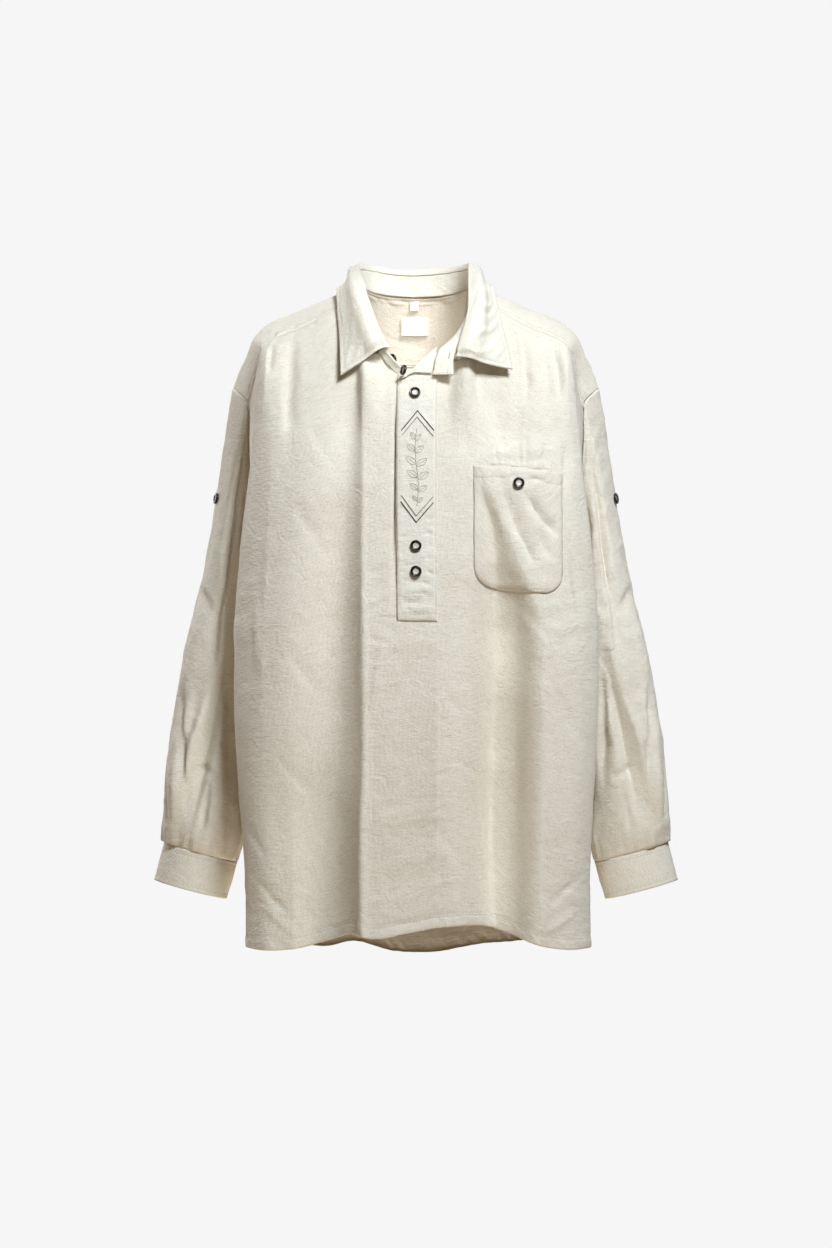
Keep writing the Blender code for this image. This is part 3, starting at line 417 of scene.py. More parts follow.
# %% Front, back and yoke
def front_rows(shares):
    """Knots and rows of points that the front runs through, from below the hem to over the shoulder."""
    low = sections(FRONT_COLUMNS, FRONT_SECTIONS, front_section, shares)
    front_edge, _, shoulder, _ = over_shoulder(shares)
    away = np.clip(1.8 - 1.8 * np.abs(shares) / FRONT_SEAM[0][0], 0, 1)[:, None]
    away = away * away * (3 - 2 * away)
    beyond = shoulder + away * (front_edge + 0.35 * (front_edge - low[-1]) - shoulder)
    knots = [row[0] for row in FRONT_SECTIONS] + [FRONT_EDGE, SHOULDER]
    return np.array(knots), np.concatenate([low, front_edge[None], beyond[None]])


def back_rows(shares):
    """Knots and rows of points that the back runs through, from below the hem to the shoulder."""
    low = sections(BACK_COLUMNS, BACK_SECTIONS, back_section, shares)
    _, _, shoulder, back_edge = over_shoulder(shares)
    knots = [row[0] for row in BACK_SECTIONS] + [CHEST + BLADE_DROP, CHEST + BLADE_DROP + 0.102]
    return np.array(knots), np.concatenate([low, back_edge[None], shoulder[None]])


def to_seam(rows_of, shares, heights):
    """What brings a panel's side on to the side seam below the underarm, less and less inwards."""
    knots, edge = rows_of(np.array([1.0]))
    below = np.minimum(heights, ARMPIT_Z).ravel()
    own = spline(knots, edge[:, 0], below, tame=True)
    side = knots <= ARMPIT_Z
    shared = spline(knots[side], edge[side, 0], below, tame=True)
    gap = (shared - own).reshape(*heights.shape, 3)
    gap *= (np.clip((np.abs(shares) - 0.78) / 0.22, 0, 1) ** 2)[:, None]
    gap[..., 0] *= np.sign(shares)
    return gap


def front_points(shares, heights):
    """The front's outer face at shares across and heights; above the chest the height is a distance."""
    points = spline_each(*front_rows(shares), heights) + to_seam(front_rows, shares, heights)
    points[..., 1] += folds_at(FRONT_FOLDS, points[..., 0], points[..., 2])
    return points


def back_points(shares, heights):
    """The back's outer face at shares across and heights."""
    points = spline_each(*back_rows(shares), heights) + to_seam(back_rows, shares, heights)
    points[..., 1] -= folds_at(BACK_FOLDS, points[..., 0], points[..., 2])
    return points


def yoke_points(shares, heights):
    """The yoke's outer face: heights are distances from its front edge to its back seam."""
    chest = front_section(dict(zip(FRONT_COLUMNS, FRONT_SECTIONS[-1])), shares)
    blade = back_section(dict(zip(BACK_COLUMNS, BACK_SECTIONS[-1])), shares)
    _, yoke_edge, shoulder, back_edge = over_shoulder(shares)
    neck = (np.abs(shares) < FRONT_SEAM[0][0])[:, None]
    before = np.where(neck, 2 * yoke_edge - shoulder, chest)
    rows = np.stack([before, yoke_edge, shoulder, back_edge, blade])
    return spline_each([CHEST, FRONT_EDGE, SHOULDER, BACK_EDGE, BACK_EDGE + BLADE_DROP], rows, heights)


def yoke_heights(travel, shares):
    """Distances at which the yoke is read: travel 0 at its front edge, 1 at the shoulder, 2 at its back."""
    at = np.interp(travel, [0, 1, 2], [FRONT_EDGE, SHOULDER, BACK_EDGE])
    return np.broadcast_to(at[:, None], (len(at), len(shares)))


def spline_each(knots, rows, heights):
    """One smooth line for each column of rows, read at that column's heights."""
    lines = [spline(knots, rows[:, i], heights[:, i], tame=True) for i in range(rows.shape[1])]
    return np.stack(lines, axis=1)

def front_heights(shares, count):
    """Heights of the front's rows: even steps from the hem to the armpit, then to the top edge."""
    hem = columns(HEM_COLUMNS, FRONT_HEM)
    low_x = front_points(shares, np.full((1, len(shares)), -0.780))[0, :, 0]
    foot = spline(hem["x"], hem["z"], low_x)
    low = foot + (ARMPIT_Z - foot) * np.linspace(0, 1, count[0])[:, None]
    high = ARMPIT_Z + (FRONT_EDGE - SEAM_GAP - ARMPIT_Z) * np.linspace(0, 1, count[1])[1:, None]
    return np.concatenate([low, np.broadcast_to(high, (len(high), len(shares)))])


print("side seam at the chest:", front_points(np.array([1.0]), np.array([[CHEST]]))[0, 0].round(4))

# %% [markdown]
# The armhole is read from the panels' own edges, so a sleeve always starts where they end.

# %% Sleeves
def ring(row, turns):
    """A sleeve section: an oval, from its outermost point by way of the front."""
    angle = 2 * np.pi * turns
    out = row["half_width"] * np.cos(angle)
    return np.column_stack([row["x"] + out * np.cos(row["tilt"]),
                            row["y"] - row["half_depth"] * np.sin(angle),
                            row["z"] + out * np.sin(row["tilt"])])


def armhole(turns):
    """The seam round the armhole: shoulder, front, underarm, back, by share of the turn."""
    one = np.array([1.0])
    steps = np.linspace(0, 1, 13)
    front_heights = (ARMPIT_Z + (FRONT_EDGE - ARMPIT_Z) * steps)[:, None]
    back_top = CHEST + BLADE_DROP
    back_heights = (ARMPIT_Z + (back_top - ARMPIT_Z) * steps)[:, None]
    yoke = yoke_points(one, yoke_heights(np.linspace(0, 2, 13), one))[:, 0]
    front = front_points(one, front_heights)[::-1, 0]
    back = back_points(one, back_heights)[:, 0]
    loop = np.concatenate([yoke[6::-1], front[1:], back[1:], yoke[11:5:-1]])
    lengths = np.concatenate([[0], np.cumsum(np.linalg.norm(np.diff(loop, axis=0), axis=1))])
    underarm = lengths[6 + 12]
    share = np.where(lengths < underarm, 0.5 * lengths / underarm,
                     0.5 + 0.5 * (lengths - underarm) / (lengths[-1] - underarm))
    return spline(share, loop, turns)


def sleeve_points(turns, travel):
    """The left sleeve's outer face, from the armhole (0) to the cuff seam (1)."""
    rows = [armhole(turns)]
    rows += [ring(dict(zip(SLEEVE_COLUMNS, row)), turns) for row in SLEEVE_SECTIONS]
    away = rows[1] - rows[0]
    rows[0] = rows[0] + 0.0007 * away / np.linalg.norm(away, axis=1)[:, None] + [0.0009, 0, 0]
    heights = np.array([-0.130] + [row[2] for row in SLEEVE_SECTIONS])
    knots = (heights[0] - heights) / (heights[0] - heights[-1])
    return np.stack([spline(knots, np.stack(rows)[:, i], travel) for i in range(len(turns))], axis=1)


print("armhole by quarters:", armhole(np.arange(4) / 4).round(3).tolist())

# %% [markdown]
# The stand is ruled between two lines, and the fall rolls over it through seven.

# %% Collar surfaces
def collar_rows():
    """The collar's lines from end to end: the stand's seam edge, the roll, and the way up between them."""
    stand = np.array(COLLAR_STAND)
    low = stand[:, :3]
    roll = stand[:, 3:]
    return low, roll, (roll - low) / np.linalg.norm(roll - low, axis=1)[:, None]


def stand_points(along, up):
    """The stand's inner face: along from its right end to its left, up from the seam to the roll."""
    low, roll, rise = collar_rows()
    under = np.full(len(low), ROLL_HEIGHT + 0.0008)
    under[[0, 1, 2, -1]] = (0, 0, 0.003, 0)
    knots = np.linspace(0, 1, len(low))
    top = spline(knots, roll - rise * under[:, None], along)
    low = spline(knots, low, along)
    return low + (top - low) * np.asarray(up)[:, None, None]


def fall_points(along, across):
    """The fall's upper face: along from right point to left, across from under the roll to its edge."""
    _, roll, rise = collar_rows()
    roll = roll[3:-1]
    rise = rise[3:-1]
    middle, edge = np.array(COLLAR_FALL)[:, :3], np.array(COLLAR_FALL)[:, 3:]
    out = (middle - roll) / np.linalg.norm(middle - roll, axis=1)[:, None]
    facing = np.cross(np.gradient(roll, axis=0), out)
    facing /= np.linalg.norm(facing, axis=1)[:, None]
    lines = np.stack([roll - ROLL_HEIGHT * rise, roll - 0.45 * ROLL_HEIGHT * rise,
                      roll + 0.0030 * facing, roll - 0.0035 * rise + 0.0070 * facing,
                      roll + 0.5 * (middle - roll) + FALL_BULGE * facing, middle, edge])
    knots = np.linspace(0, 1, len(roll))
    lines = np.stack([spline(knots, line, along) for line in lines])
    return spline(np.array([0, 0.05, 0.10, 0.17, 0.36, 0.58, 1.0]), lines, across)

print("left collar point:", fall_points(np.array([1.0]), np.array([1.0]))[0, 0].round(4))

# %% [markdown]
# ## Helpers for meshes
# A piece is a grid of points. Its facing is worked out from its neighbours, so a crease is a small
# move along that facing. The same grid later tells where a row of stitches runs, by its distance
# from an edge, as a sewer measures it.

# %% Grid helpers
MADE = {}
CREASE_GAIN = 1.35        # creases are this much deeper than their tables say, to shade as in the photo

def bell(at, middle, half):
    """A bell along one measure: e to the minus square of the distance from its middle in half widths."""
    return np.exp(-(((at - middle) / half) ** 2))


def facing(grid, sign=1.0, closed=False):
    """Unit normals of a grid: the cross product of its slopes across and up."""
    if closed:
        across = np.roll(grid, -1, axis=1) - np.roll(grid, 1, axis=1)
    else:
        across = np.gradient(grid, axis=1)
    up = np.gradient(grid, axis=0)
    normal = np.cross(across, up) * sign
    return normal / np.maximum(np.linalg.norm(normal, axis=2, keepdims=True), 1e-12)


def reach(grid):
    """Lengths along the cloth: across from the first column, and up from the first row."""
    across = np.linalg.norm(np.diff(grid, axis=1), axis=2)
    up = np.linalg.norm(np.diff(grid, axis=0), axis=2)
    u = np.concatenate([np.zeros((len(grid), 1)), np.cumsum(across, axis=1)], axis=1)
    v = np.concatenate([np.zeros((1, grid.shape[1])), np.cumsum(up, axis=0)], axis=0)
    return u, v


def search(lines, values):
    """Where each value lies on its own rising line, as a whole step and the part of the next."""
    k = np.clip((lines < values[:, None]).sum(axis=1) - 1, 0, lines.shape[1] - 2)
    n = np.arange(len(values))
    low, high = lines[n, k], lines[n, k + 1]
    return k, (values - low) / np.maximum(high - low, 1e-9)


def on_cloth(name, x, z, out):
    """Points of a made piece by distance across and level, moved out from it, and the way it faces.

    Finds the column on the present row, then the row on that column, a few times over.
    """
    grid, normal = MADE[name]
    x, z = np.broadcast_arrays(np.asarray(x, float), np.asarray(z, float))
    shape, x, z = x.shape, x.ravel(), z.ravel()
    j, fc = np.full(x.size, grid.shape[1] // 2), np.full(x.size, 0.5)
    for _ in range(6):
        i, fr = search((grid[:, j, 2] * (1 - fc) + grid[:, j + 1, 2] * fc).T, z)
        j, fc = search(grid[i, :, 0] * (1 - fr[:, None]) + grid[i + 1, :, 0] * fr[:, None], x)
    fr, fc = fr[:, None], fc[:, None]
    here, way = (
        (field[i, j] * (1 - fc) + field[i, j + 1] * fc) * (1 - fr)
        + (field[i + 1, j] * (1 - fc) + field[i + 1, j + 1] * fc) * fr
        for field in (grid, normal)
    )
    way /= np.linalg.norm(way, axis=-1, keepdims=True)
    out = np.broadcast_to(out, shape).ravel()[:, None]
    return (here + out * way).reshape(*shape, 3), way.reshape(*shape, 3)


def smooth_noise(a, b, cell_a, cell_b, seed):
    """Value noise: random heights on a lattice of cells, joined by smooth steps, from -1 to 1."""
    x = np.asarray(a) / cell_a
    y = np.asarray(b) / cell_b
    i, j = np.floor(x).astype(int), np.floor(y).astype(int)
    fx, fy = x - i, y - j
    fx, fy = fx * fx * (3 - 2 * fx), fy * fy * (3 - 2 * fy)
    heights = np.random.default_rng(seed).uniform(-1, 1, (256, 256))
    i, j = i % 255, j % 255
    low = heights[i, j] * (1 - fx) + heights[i + 1, j] * fx
    high = heights[i, j + 1] * (1 - fx) + heights[i + 1, j + 1] * fx
    return low * (1 - fy) + high * fy


def rumple(a, b, seed, depth=0.0006, stretch=1.6):
    """Washed linen's crumple: folded noise of four sizes, whose sharp valleys read as small creases."""
    total = np.zeros(np.broadcast_shapes(np.shape(a), np.shape(b)))
    for k, size in enumerate((0.050, 0.027, 0.014, 0.0075)):
        noise = smooth_noise(a + 0.3 * b, b - 0.2 * a, size * stretch, size, seed + k)
        total = total + (0.35 - np.abs(noise)) * 0.62**k
    return depth * total


def creases(rows, a, b):
    """Soft troughs and ridges along bowed lines: a bell across each line, fading at both ends."""
    total = np.zeros(np.broadcast_shapes(np.shape(a), np.shape(b)))
    for a0, b0, a1, b1, half, depth, bow in rows:
        run_a, run_b = a1 - a0, b1 - b0
        length = np.hypot(run_a, run_b)
        t = ((a - a0) * run_a + (b - b0) * run_b) / length**2
        off = ((a - a0) * run_b - (b - b0) * run_a) / length - bow * 4 * t * (1 - t)
        ends = np.clip(t / 0.40, 0, 1) * np.clip((1 - t) / 0.40, 0, 1)
        ends = ends * ends * (3 - 2 * ends)
        steep = np.where(off > 0, 0.72, 1.25)
        total += CREASE_GAIN * depth * ends * np.exp(-((off / (half * steep)) ** 2))
    return total


# %% [markdown]
# ## Turning a grid into a piece of cloth
# The mesh carries a UV map in metres, so the weave follows the grain of each cut piece and has the
# same scale everywhere. Solidify gives the cloth its thickness towards the inside.

# %% Cloth from a grid
def piece_of(name, grid, material, node, wall=CLOTH, sign=1.0, closed=False, keep=None,
             grain=0.0, level=0, flat=None, folded=False):
    """A piece of cloth on a grid of outer points, with a UV map in metres and a wall to the inside."""
    rows, across = grid.shape[:2]
    wide = across if closed else across - 1
    i, j = np.meshgrid(np.arange(rows - 1), np.arange(wide), indexing="ij")
    k = (j + 1) % across
    quads = np.stack([i * across + j, i * across + k, (i + 1) * across + k, (i + 1) * across + j], -1)
    corner_i = np.stack([i, i, i + 1, i + 1], -1)
    corner_j = np.stack([j, j + 1, j + 1, j], -1)
    if sign < 0:
        quads, corner_i, corner_j = quads[..., ::-1], corner_i[..., ::-1], corner_j[..., ::-1]
    whole = np.concatenate([grid, grid[:, :1]], axis=1) if closed else grid
    u, v = reach(whole)
    u = u - u[:, u.shape[1] // 2][:, None]
    v = v - v[level]
    turned_u = u * np.cos(grain) - v * np.sin(grain)
    turned_v = u * np.sin(grain) + v * np.cos(grain)
    uv = np.stack([turned_u[corner_i, corner_j], turned_v[corner_i, corner_j]], -1)
    if keep is not None:
        quads, uv = quads[keep], uv[keep]
    quads, uv = quads.reshape(-1, 4), uv.reshape(-1, 2)
    points = grid.reshape(-1, 3)
    used, quads = np.unique(quads, return_inverse=True)
    points, quads = points[used], quads.reshape(-1, 4)
    mesh = bpy.data.meshes.new(name)
    mesh.vertices.add(len(points))
    mesh.vertices.foreach_set("co", points.ravel())
    mesh.loops.add(quads.size)
    mesh.loops.foreach_set("vertex_index", quads.ravel())
    mesh.polygons.add(len(quads))
    mesh.polygons.foreach_set("loop_start", np.arange(len(quads)) * 4)
    mesh.update(calc_edges=True)
    mesh.uv_layers.new(name="cloth").data.foreach_set("uv", uv.ravel())
    mesh.shade_smooth()
    mesh.validate()
    made = bpy.data.objects.new(name, mesh)
    bpy.context.scene.collection.objects.link(made)
    mesh.materials.append(material)
    thick = made.modifiers.new("wall", "SOLIDIFY")
    thick.thickness = wall
    thick.offset = -1
    thick.use_rim_only = not folded
    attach(made, "root")
    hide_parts(node)
    area = float(sum(p.area for p in mesh.polygons))
    lengths = np.linalg.norm(np.diff(whole, axis=1), axis=2).sum(axis=1)
    heights = np.linalg.norm(np.diff(grid, axis=0), axis=2).sum(axis=0)
    cut = flat or (float(lengths.max()), float(heights.max()))
    area = min(area, cut[0] * cut[1])
    MADE[name] = (grid, facing(grid, sign, closed))
    print(f"{name}: {len(quads)} quads, cut {cut[0]:.3f} x {cut[1]:.3f} m, {area:.3f} m2")
    return made


# %% [markdown]
# ## Materials
# The cloth is a washed plain-weave linen and cotton mix in its natural oatmeal colour. Its weft
# has slubs: short thicker stretches of yarn, lighter or darker than the rest, that run across the
# body. Bleached and unbleached fibres are spun together, which gives fine flecks.

# %% Colours and nodes
def colour(hex_value):
    """An sRGB hex colour as linear red, green, blue and alpha."""
    parts = np.array([int(hex_value[k:k + 2], 16) for k in (1, 3, 5)]) / 255
    linear = np.where(parts <= 0.04045, parts / 12.92, ((parts + 0.055) / 1.055) ** 2.4)
    return (*linear.tolist(), 1.0)


def add_node(tree, kind, settings=None, links=None):
    """A node of a kind, with its settings and its inputs set to values or linked to sockets."""
    node = tree.nodes.new(kind)
    for key, value in (settings or {}).items():
        setattr(node, key, value)
    for key, value in (links or {}).items():
        if isinstance(value, bpy.types.NodeSocket):
            tree.links.new(value, node.inputs[key])
        else:
            node.inputs[key].default_value = value
    return node


def new_material(name, roughness, **sockets):
    """An empty Principled material with its roughness and other sockets set."""
    material = bpy.data.materials.new(name)
    material.use_nodes = True
    shader = material.node_tree.nodes["Principled BSDF"]
    shader.inputs["Roughness"].default_value = roughness
    for key, value in sockets.items():
        shader.inputs[key.replace("_", " ")].default_value = value
    return material, material.node_tree, shader


# %% [markdown]
# Yarns could be modelled one by one, but at this size bump and colour give the same look.

# %% Linen
# Yarns of this cloth lie about 0.7 mm apart. In the picture that is finer than a pixel, so the
# weave is drawn at 1.5 mm, and slubs about 14 mm long and 1.3 mm wide.
YARN = 0.0015


def linen(name, light="#F5EEDF", middle="#E5DCC9", dark="#BFB298"):
    """Plain-weave linen: yarn bumps in both directions, weft slubs and fine flecks of colour."""
    material, tree, shader = new_material(name, 0.88, Sheen_Weight=0.18, Sheen_Roughness=0.6)
    shader.inputs["Specular IOR Level"].default_value = 0.25
    place = add_node(tree, "ShaderNodeUVMap", {"uv_map": "cloth"}).outputs[0]
    weft_at = add_node(tree, "ShaderNodeMapping", {}, {"Vector": place, "Scale": (70, 760, 1)}).outputs[0]
    warp_at = add_node(tree, "ShaderNodeMapping", {}, {"Vector": place, "Scale": (700, 90, 1)}).outputs[0]
    fleck_at = add_node(tree, "ShaderNodeMapping", {}, {"Vector": place, "Scale": (420, 560, 1)}).outputs[0]
    broad_at = add_node(tree, "ShaderNodeMapping", {}, {"Vector": place, "Scale": (9, 14, 1)}).outputs[0]
    noise = {"Scale": 1.0, "Detail": 3.0, "Roughness": 0.6}
    weft = add_node(tree, "ShaderNodeTexNoise", {}, {"Vector": weft_at, **noise}).outputs["Fac"]
    warp = add_node(tree, "ShaderNodeTexNoise", {}, {"Vector": warp_at, **noise}).outputs["Fac"]
    fleck = add_node(tree, "ShaderNodeTexNoise", {}, {"Vector": fleck_at, **noise}).outputs["Fac"]
    broad = add_node(tree, "ShaderNodeTexNoise", {}, {"Vector": broad_at, **noise}).outputs["Fac"]
    mixed = add_node(tree, "ShaderNodeMath", {"operation": "MULTIPLY_ADD"}, {0: weft, 1: 0.48, 2: 0.0}).outputs[0]
    mixed = add_node(tree, "ShaderNodeMath", {"operation": "MULTIPLY_ADD"}, {0: warp, 1: 0.24, 2: mixed}).outputs[0]
    mixed = add_node(tree, "ShaderNodeMath", {"operation": "MULTIPLY_ADD"}, {0: fleck, 1: 0.42, 2: mixed}).outputs[0]
    mixed = add_node(tree, "ShaderNodeMath", {"operation": "MULTIPLY_ADD"}, {0: broad, 1: 0.16, 2: mixed}).outputs[0]
    ramp = add_node(tree, "ShaderNodeValToRGB", {}, {"Fac": mixed})
    ramp.color_ramp.elements[0].position = 0.42
    ramp.color_ramp.elements[0].color = colour(dark)
    ramp.color_ramp.elements[1].position = 0.80
    ramp.color_ramp.elements[1].color = colour(light)
    ramp.color_ramp.elements.new(0.58).color = colour(middle)
    tree.links.new(ramp.outputs["Color"], shader.inputs["Base Color"])
    across = add_node(tree, "ShaderNodeTexWave", {"bands_direction": "X"},
                      {"Vector": place, "Scale": 0.314 / YARN, "Distortion": 1.2, "Detail": 1.0}).outputs["Fac"]
    along = add_node(tree, "ShaderNodeTexWave", {"bands_direction": "Y"},
                     {"Vector": place, "Scale": 0.314 / YARN, "Distortion": 1.2, "Detail": 1.0}).outputs["Fac"]
    woven = add_node(tree, "ShaderNodeMath", {"operation": "MULTIPLY"}, {0: across, 1: along}).outputs[0]
    height = add_node(tree, "ShaderNodeMath", {"operation": "MULTIPLY_ADD"}, {0: weft, 1: 1.6, 2: woven}).outputs[0]
    height = add_node(tree, "ShaderNodeMath", {"operation": "MULTIPLY_ADD"}, {0: fleck, 1: 0.9, 2: height}).outputs[0]
    soft = add_node(tree, "ShaderNodeTexNoise", {}, {"Vector": place, "Scale": 46.0, "Detail": 5.0,
                                                     "Roughness": 0.55, "Distortion": 0.8}).outputs["Fac"]
    soft = add_node(tree, "ShaderNodeMath", {"operation": "SUBTRACT"}, {0: soft, 1: 0.5}).outputs[0]
    soft = add_node(tree, "ShaderNodeMath", {"operation": "ABSOLUTE"}, {0: soft}).outputs[0]
    crumple = add_node(tree, "ShaderNodeBump", {"invert": True}, {"Strength": 1.0, "Distance": 0.0022, "Height": soft})
    bump = add_node(tree, "ShaderNodeBump", {}, {"Strength": 0.6, "Distance": 0.0006, "Height": height,
                                                 "Normal": crumple.outputs["Normal"]})
    tree.links.new(bump.outputs["Normal"], shader.inputs["Normal"])
    return material


LINEN = linen("washed_linen")
LINEN_BAND = linen("washed_linen_bands", light="#F7F1E3", middle="#E8E0CF", dark="#C6BAA1")


# %% [markdown]
# The small finishes are plain colours with fine noise, and the buttons have a thin polished coat.

# %% Thread, tape and horn
def plain(name, hex_value, roughness, grain=900.0, depth=0.00012, **sockets):
    """A material of one colour, broken up by fine noise in colour and relief."""
    material, tree, shader = new_material(name, roughness, **sockets)
    place = add_node(tree, "ShaderNodeTexCoord").outputs["Object"]
    noise = add_node(tree, "ShaderNodeTexNoise", {}, {"Vector": place, "Scale": grain, "Detail": 2.0}).outputs["Fac"]
    base = np.array(colour(hex_value))
    ramp = add_node(tree, "ShaderNodeValToRGB", {}, {"Fac": noise})
    ramp.color_ramp.elements[0].position = 0.3
    ramp.color_ramp.elements[0].color = (*(base[:3] * 0.80).tolist(), 1)
    ramp.color_ramp.elements[1].position = 0.7
    ramp.color_ramp.elements[1].color = (*np.clip(base[:3] * 1.10, 0, 1).tolist(), 1)
    tree.links.new(ramp.outputs["Color"], shader.inputs["Base Color"])
    bump = add_node(tree, "ShaderNodeBump", {}, {"Strength": 0.4, "Distance": depth, "Height": noise})
    tree.links.new(bump.outputs["Normal"], shader.inputs["Normal"])
    return material


THREAD = plain("cotton_thread", "#CFC5B1", 0.75)
THREAD_MOTIF = plain("mercerised_thread", "#C2B8A4", 0.45)
# Dark thread of the chevrons; the same dark thread also lies along the buttonhole's slit as painted shade.
DARK_THREAD_AND_SLIT_SHADE = plain("dark_thread_and_slit_shade", "#332A23", 0.55)
THREAD_BROWN = plain("brown_embroidery_thread", "#6F6151", 0.55)
TAPE = plain("woven_tape", "#F3F0E8", 0.6, grain=1500.0)
HORN = plain("polished_dark_horn", "#20150E", 0.25, grain=350.0, depth=0.00003, Coat_Weight=0.4)
PEARL = plain("pale_button_face", "#D6CEC0", 0.34, grain=160.0, depth=0.00003, Coat_Weight=0.3)

# %% [markdown]
# ## The front
# One popover panel, slit at the neck. Its long folds come with the surface. The smaller creases
# are placed along the lines where this cloth pulls or has been pressed.

# %% Creases of the front
# Columns: start across, start level, end across, end level, half width, depth out, bow
FRONT_CREASES = (
    (-0.0245, -0.100, -0.0262, -0.404, 0.0017, -0.0052, 0.000),
    (0.0640, -0.2168, 0.1770, -0.2262, 0.0013, -0.0034, 0.000),
    (0.080, -0.2080, 0.166, -0.2120, 0.0026, -0.0007, 0.001),
    (0.0860, -0.0980, 0.1120, -0.2100, 0.0160, -0.0050, 0.004),
    (0.094, -0.1900, 0.097, -0.2200, 0.0022, -0.0011, 0.001),
    (0.103, -0.1780, 0.104, -0.2220, 0.0030, -0.0016, 0.001),
    (0.112, -0.1920, 0.111, -0.2220, 0.0022, -0.0011, -0.001),
    (0.122, -0.1860, 0.124, -0.2240, 0.0026, -0.0013, 0.001),
    (0.132, -0.1800, 0.130, -0.2240, 0.0030, -0.0015, 0.001),
    (0.141, -0.1930, 0.141, -0.2240, 0.0022, -0.0011, 0.000),
    (0.152, -0.1860, 0.155, -0.2240, 0.0030, -0.0012, 0.001),
    (-0.149, -0.050, -0.152, -0.190, 0.006, -0.0035, 0.003),
    (-0.172, -0.062, -0.176, -0.110, 0.004, -0.0030, 0.001),
    (0.122, -0.040, 0.132, -0.150, 0.006, -0.0035, -0.003),
    (0.160, -0.055, 0.172, -0.150, 0.005, -0.0035, -0.003),
    (0.080, -0.050, 0.086, -0.110, 0.005, -0.0018, 0.000),
    (0.0240, -0.395, 0.0215, -0.790, 0.0014, 0.0007, 0.000),
    (0.0215, -0.395, 0.0190, -0.790, 0.0020, -0.0005, 0.000),
    (-0.034, -0.405, -0.055, -0.520, 0.006, 0.0014, 0.002),
    (-0.030, -0.372, -0.058, -0.395, 0.004, -0.0012, 0.001),
    (-0.032, -0.335, -0.060, -0.350, 0.004, -0.0010, 0.001),
    (-0.062, -0.420, -0.030, -0.428, 0.003, -0.0008, 0.001),
    (-0.190, -0.360, -0.186, -0.470, 0.006, 0.0020, 0.002),
    (-0.202, -0.700, -0.150, -0.760, 0.004, -0.0012, 0.002),
    (-0.195, -0.735, -0.150, -0.780, 0.004, 0.0012, -0.001),
    (-0.206, -0.640, -0.180, -0.690, 0.005, -0.0012, 0.001),
    (0.150, -0.745, 0.205, -0.700, 0.005, -0.0014, -0.002),
    (0.145, -0.775, 0.200, -0.740, 0.004, 0.0012, 0.001),
    (0.146, -0.720, 0.152, -0.790, 0.004, 0.0016, 0.000),
    (0.040, -0.560, 0.085, -0.590, 0.005, -0.0010, 0.001),
    (0.030, -0.480, 0.060, -0.520, 0.005, -0.0009, 0.001),
    (0.020, -0.640, 0.060, -0.700, 0.006, -0.0009, -0.002),
    (-0.160, -0.420, -0.110, -0.500, 0.007, -0.0010, 0.003),
    (-0.170, -0.560, -0.120, -0.620, 0.007, -0.0009, 0.002),
    (-0.150, -0.250, -0.100, -0.330, 0.008, -0.0010, 0.003),
    (-0.130, -0.160, -0.090, -0.230, 0.008, -0.0008, 0.002),
    (0.180, -0.180, 0.176, -0.260, 0.006, -0.0020, 0.001),
    (0.182, -0.300, 0.200, -0.420, 0.006, -0.0020, 0.002),
    (0.120, -0.376, 0.160, -0.430, 0.006, -0.0014, -0.002),
    (0.160, -0.470, 0.195, -0.560, 0.007, -0.0014, -0.002),
    (0.060, -0.140, 0.056, -0.210, 0.007, -0.0010, 0.001),
    (-0.024, -0.290, -0.050, -0.300, 0.004, -0.0008, 0.000),
)

# Diagonal folds that run through the pocket and the front behind it
POCKET_CREASES = (
    (0.1040, -0.234, 0.1250, -0.312, 0.0080, -0.0050, 0.003),
    (0.1240, -0.242, 0.1740, -0.308, 0.0058, -0.0042, 0.004),
    (0.1160, -0.290, 0.1400, -0.342, 0.0050, -0.0026, -0.002),
    (0.1420, -0.292, 0.1600, -0.334, 0.0064, -0.0022, 0.001),
    (0.0780, -0.248, 0.0990, -0.298, 0.0080, -0.0018, -0.003),
    (0.0640, -0.290, 0.0700, -0.350, 0.0070, -0.0008, 0.002),
    (0.1300, -0.232, 0.1560, -0.236, 0.0026, -0.0012, 0.001),
)


# The two longest folds of the panel and three slighter ones. Each has how soft its ridge is, 1 for
# crisp and 2 for soft, and stations of level, ridge, width of the dip beside it, and depth. The dip
# lies towards the wearer's right of the ridge where its width is positive.
LONG_FOLDS = (
    (1, ((-0.800, -0.0640, 0.056, 0.0350), (-0.600, -0.0640, 0.046, 0.0290), (-0.400, -0.0640, 0.033, 0.0200),
         (-0.250, -0.0650, 0.022, 0.0120), (-0.150, -0.0655, 0.015, 0.0055), (-0.095, -0.0655, 0.012, 0.0))),
    (2, ((-0.800, 0.146, 0.044, 0.0360), (-0.700, 0.151, 0.047, 0.0500), (-0.600, 0.153, 0.049, 0.0600),
         (-0.500, 0.152, 0.049, 0.0600), (-0.410, 0.149, 0.046, 0.0460), (-0.367, 0.141, 0.040, 0.0330),
         (-0.329, 0.125, 0.028, 0.0170), (-0.290, 0.109, 0.019, 0.0110), (-0.262, 0.094, 0.013, 0.0065),
         (-0.230, 0.082, 0.008, 0.0))),
    (1, ((-0.520, -0.186, 0.016, 0.0), (-0.450, -0.183, 0.016, 0.0022), (-0.250, -0.174, 0.013, 0.0014),
         (-0.150, -0.170, 0.012, 0.0))),
    (1, ((-0.800, -0.156, -0.020, 0.0026), (-0.500, -0.148, -0.016, 0.0))),
    (2, ((-0.800, 0.048, 0.030, 0.0030), (-0.460, 0.060, 0.024, 0.0))),
)


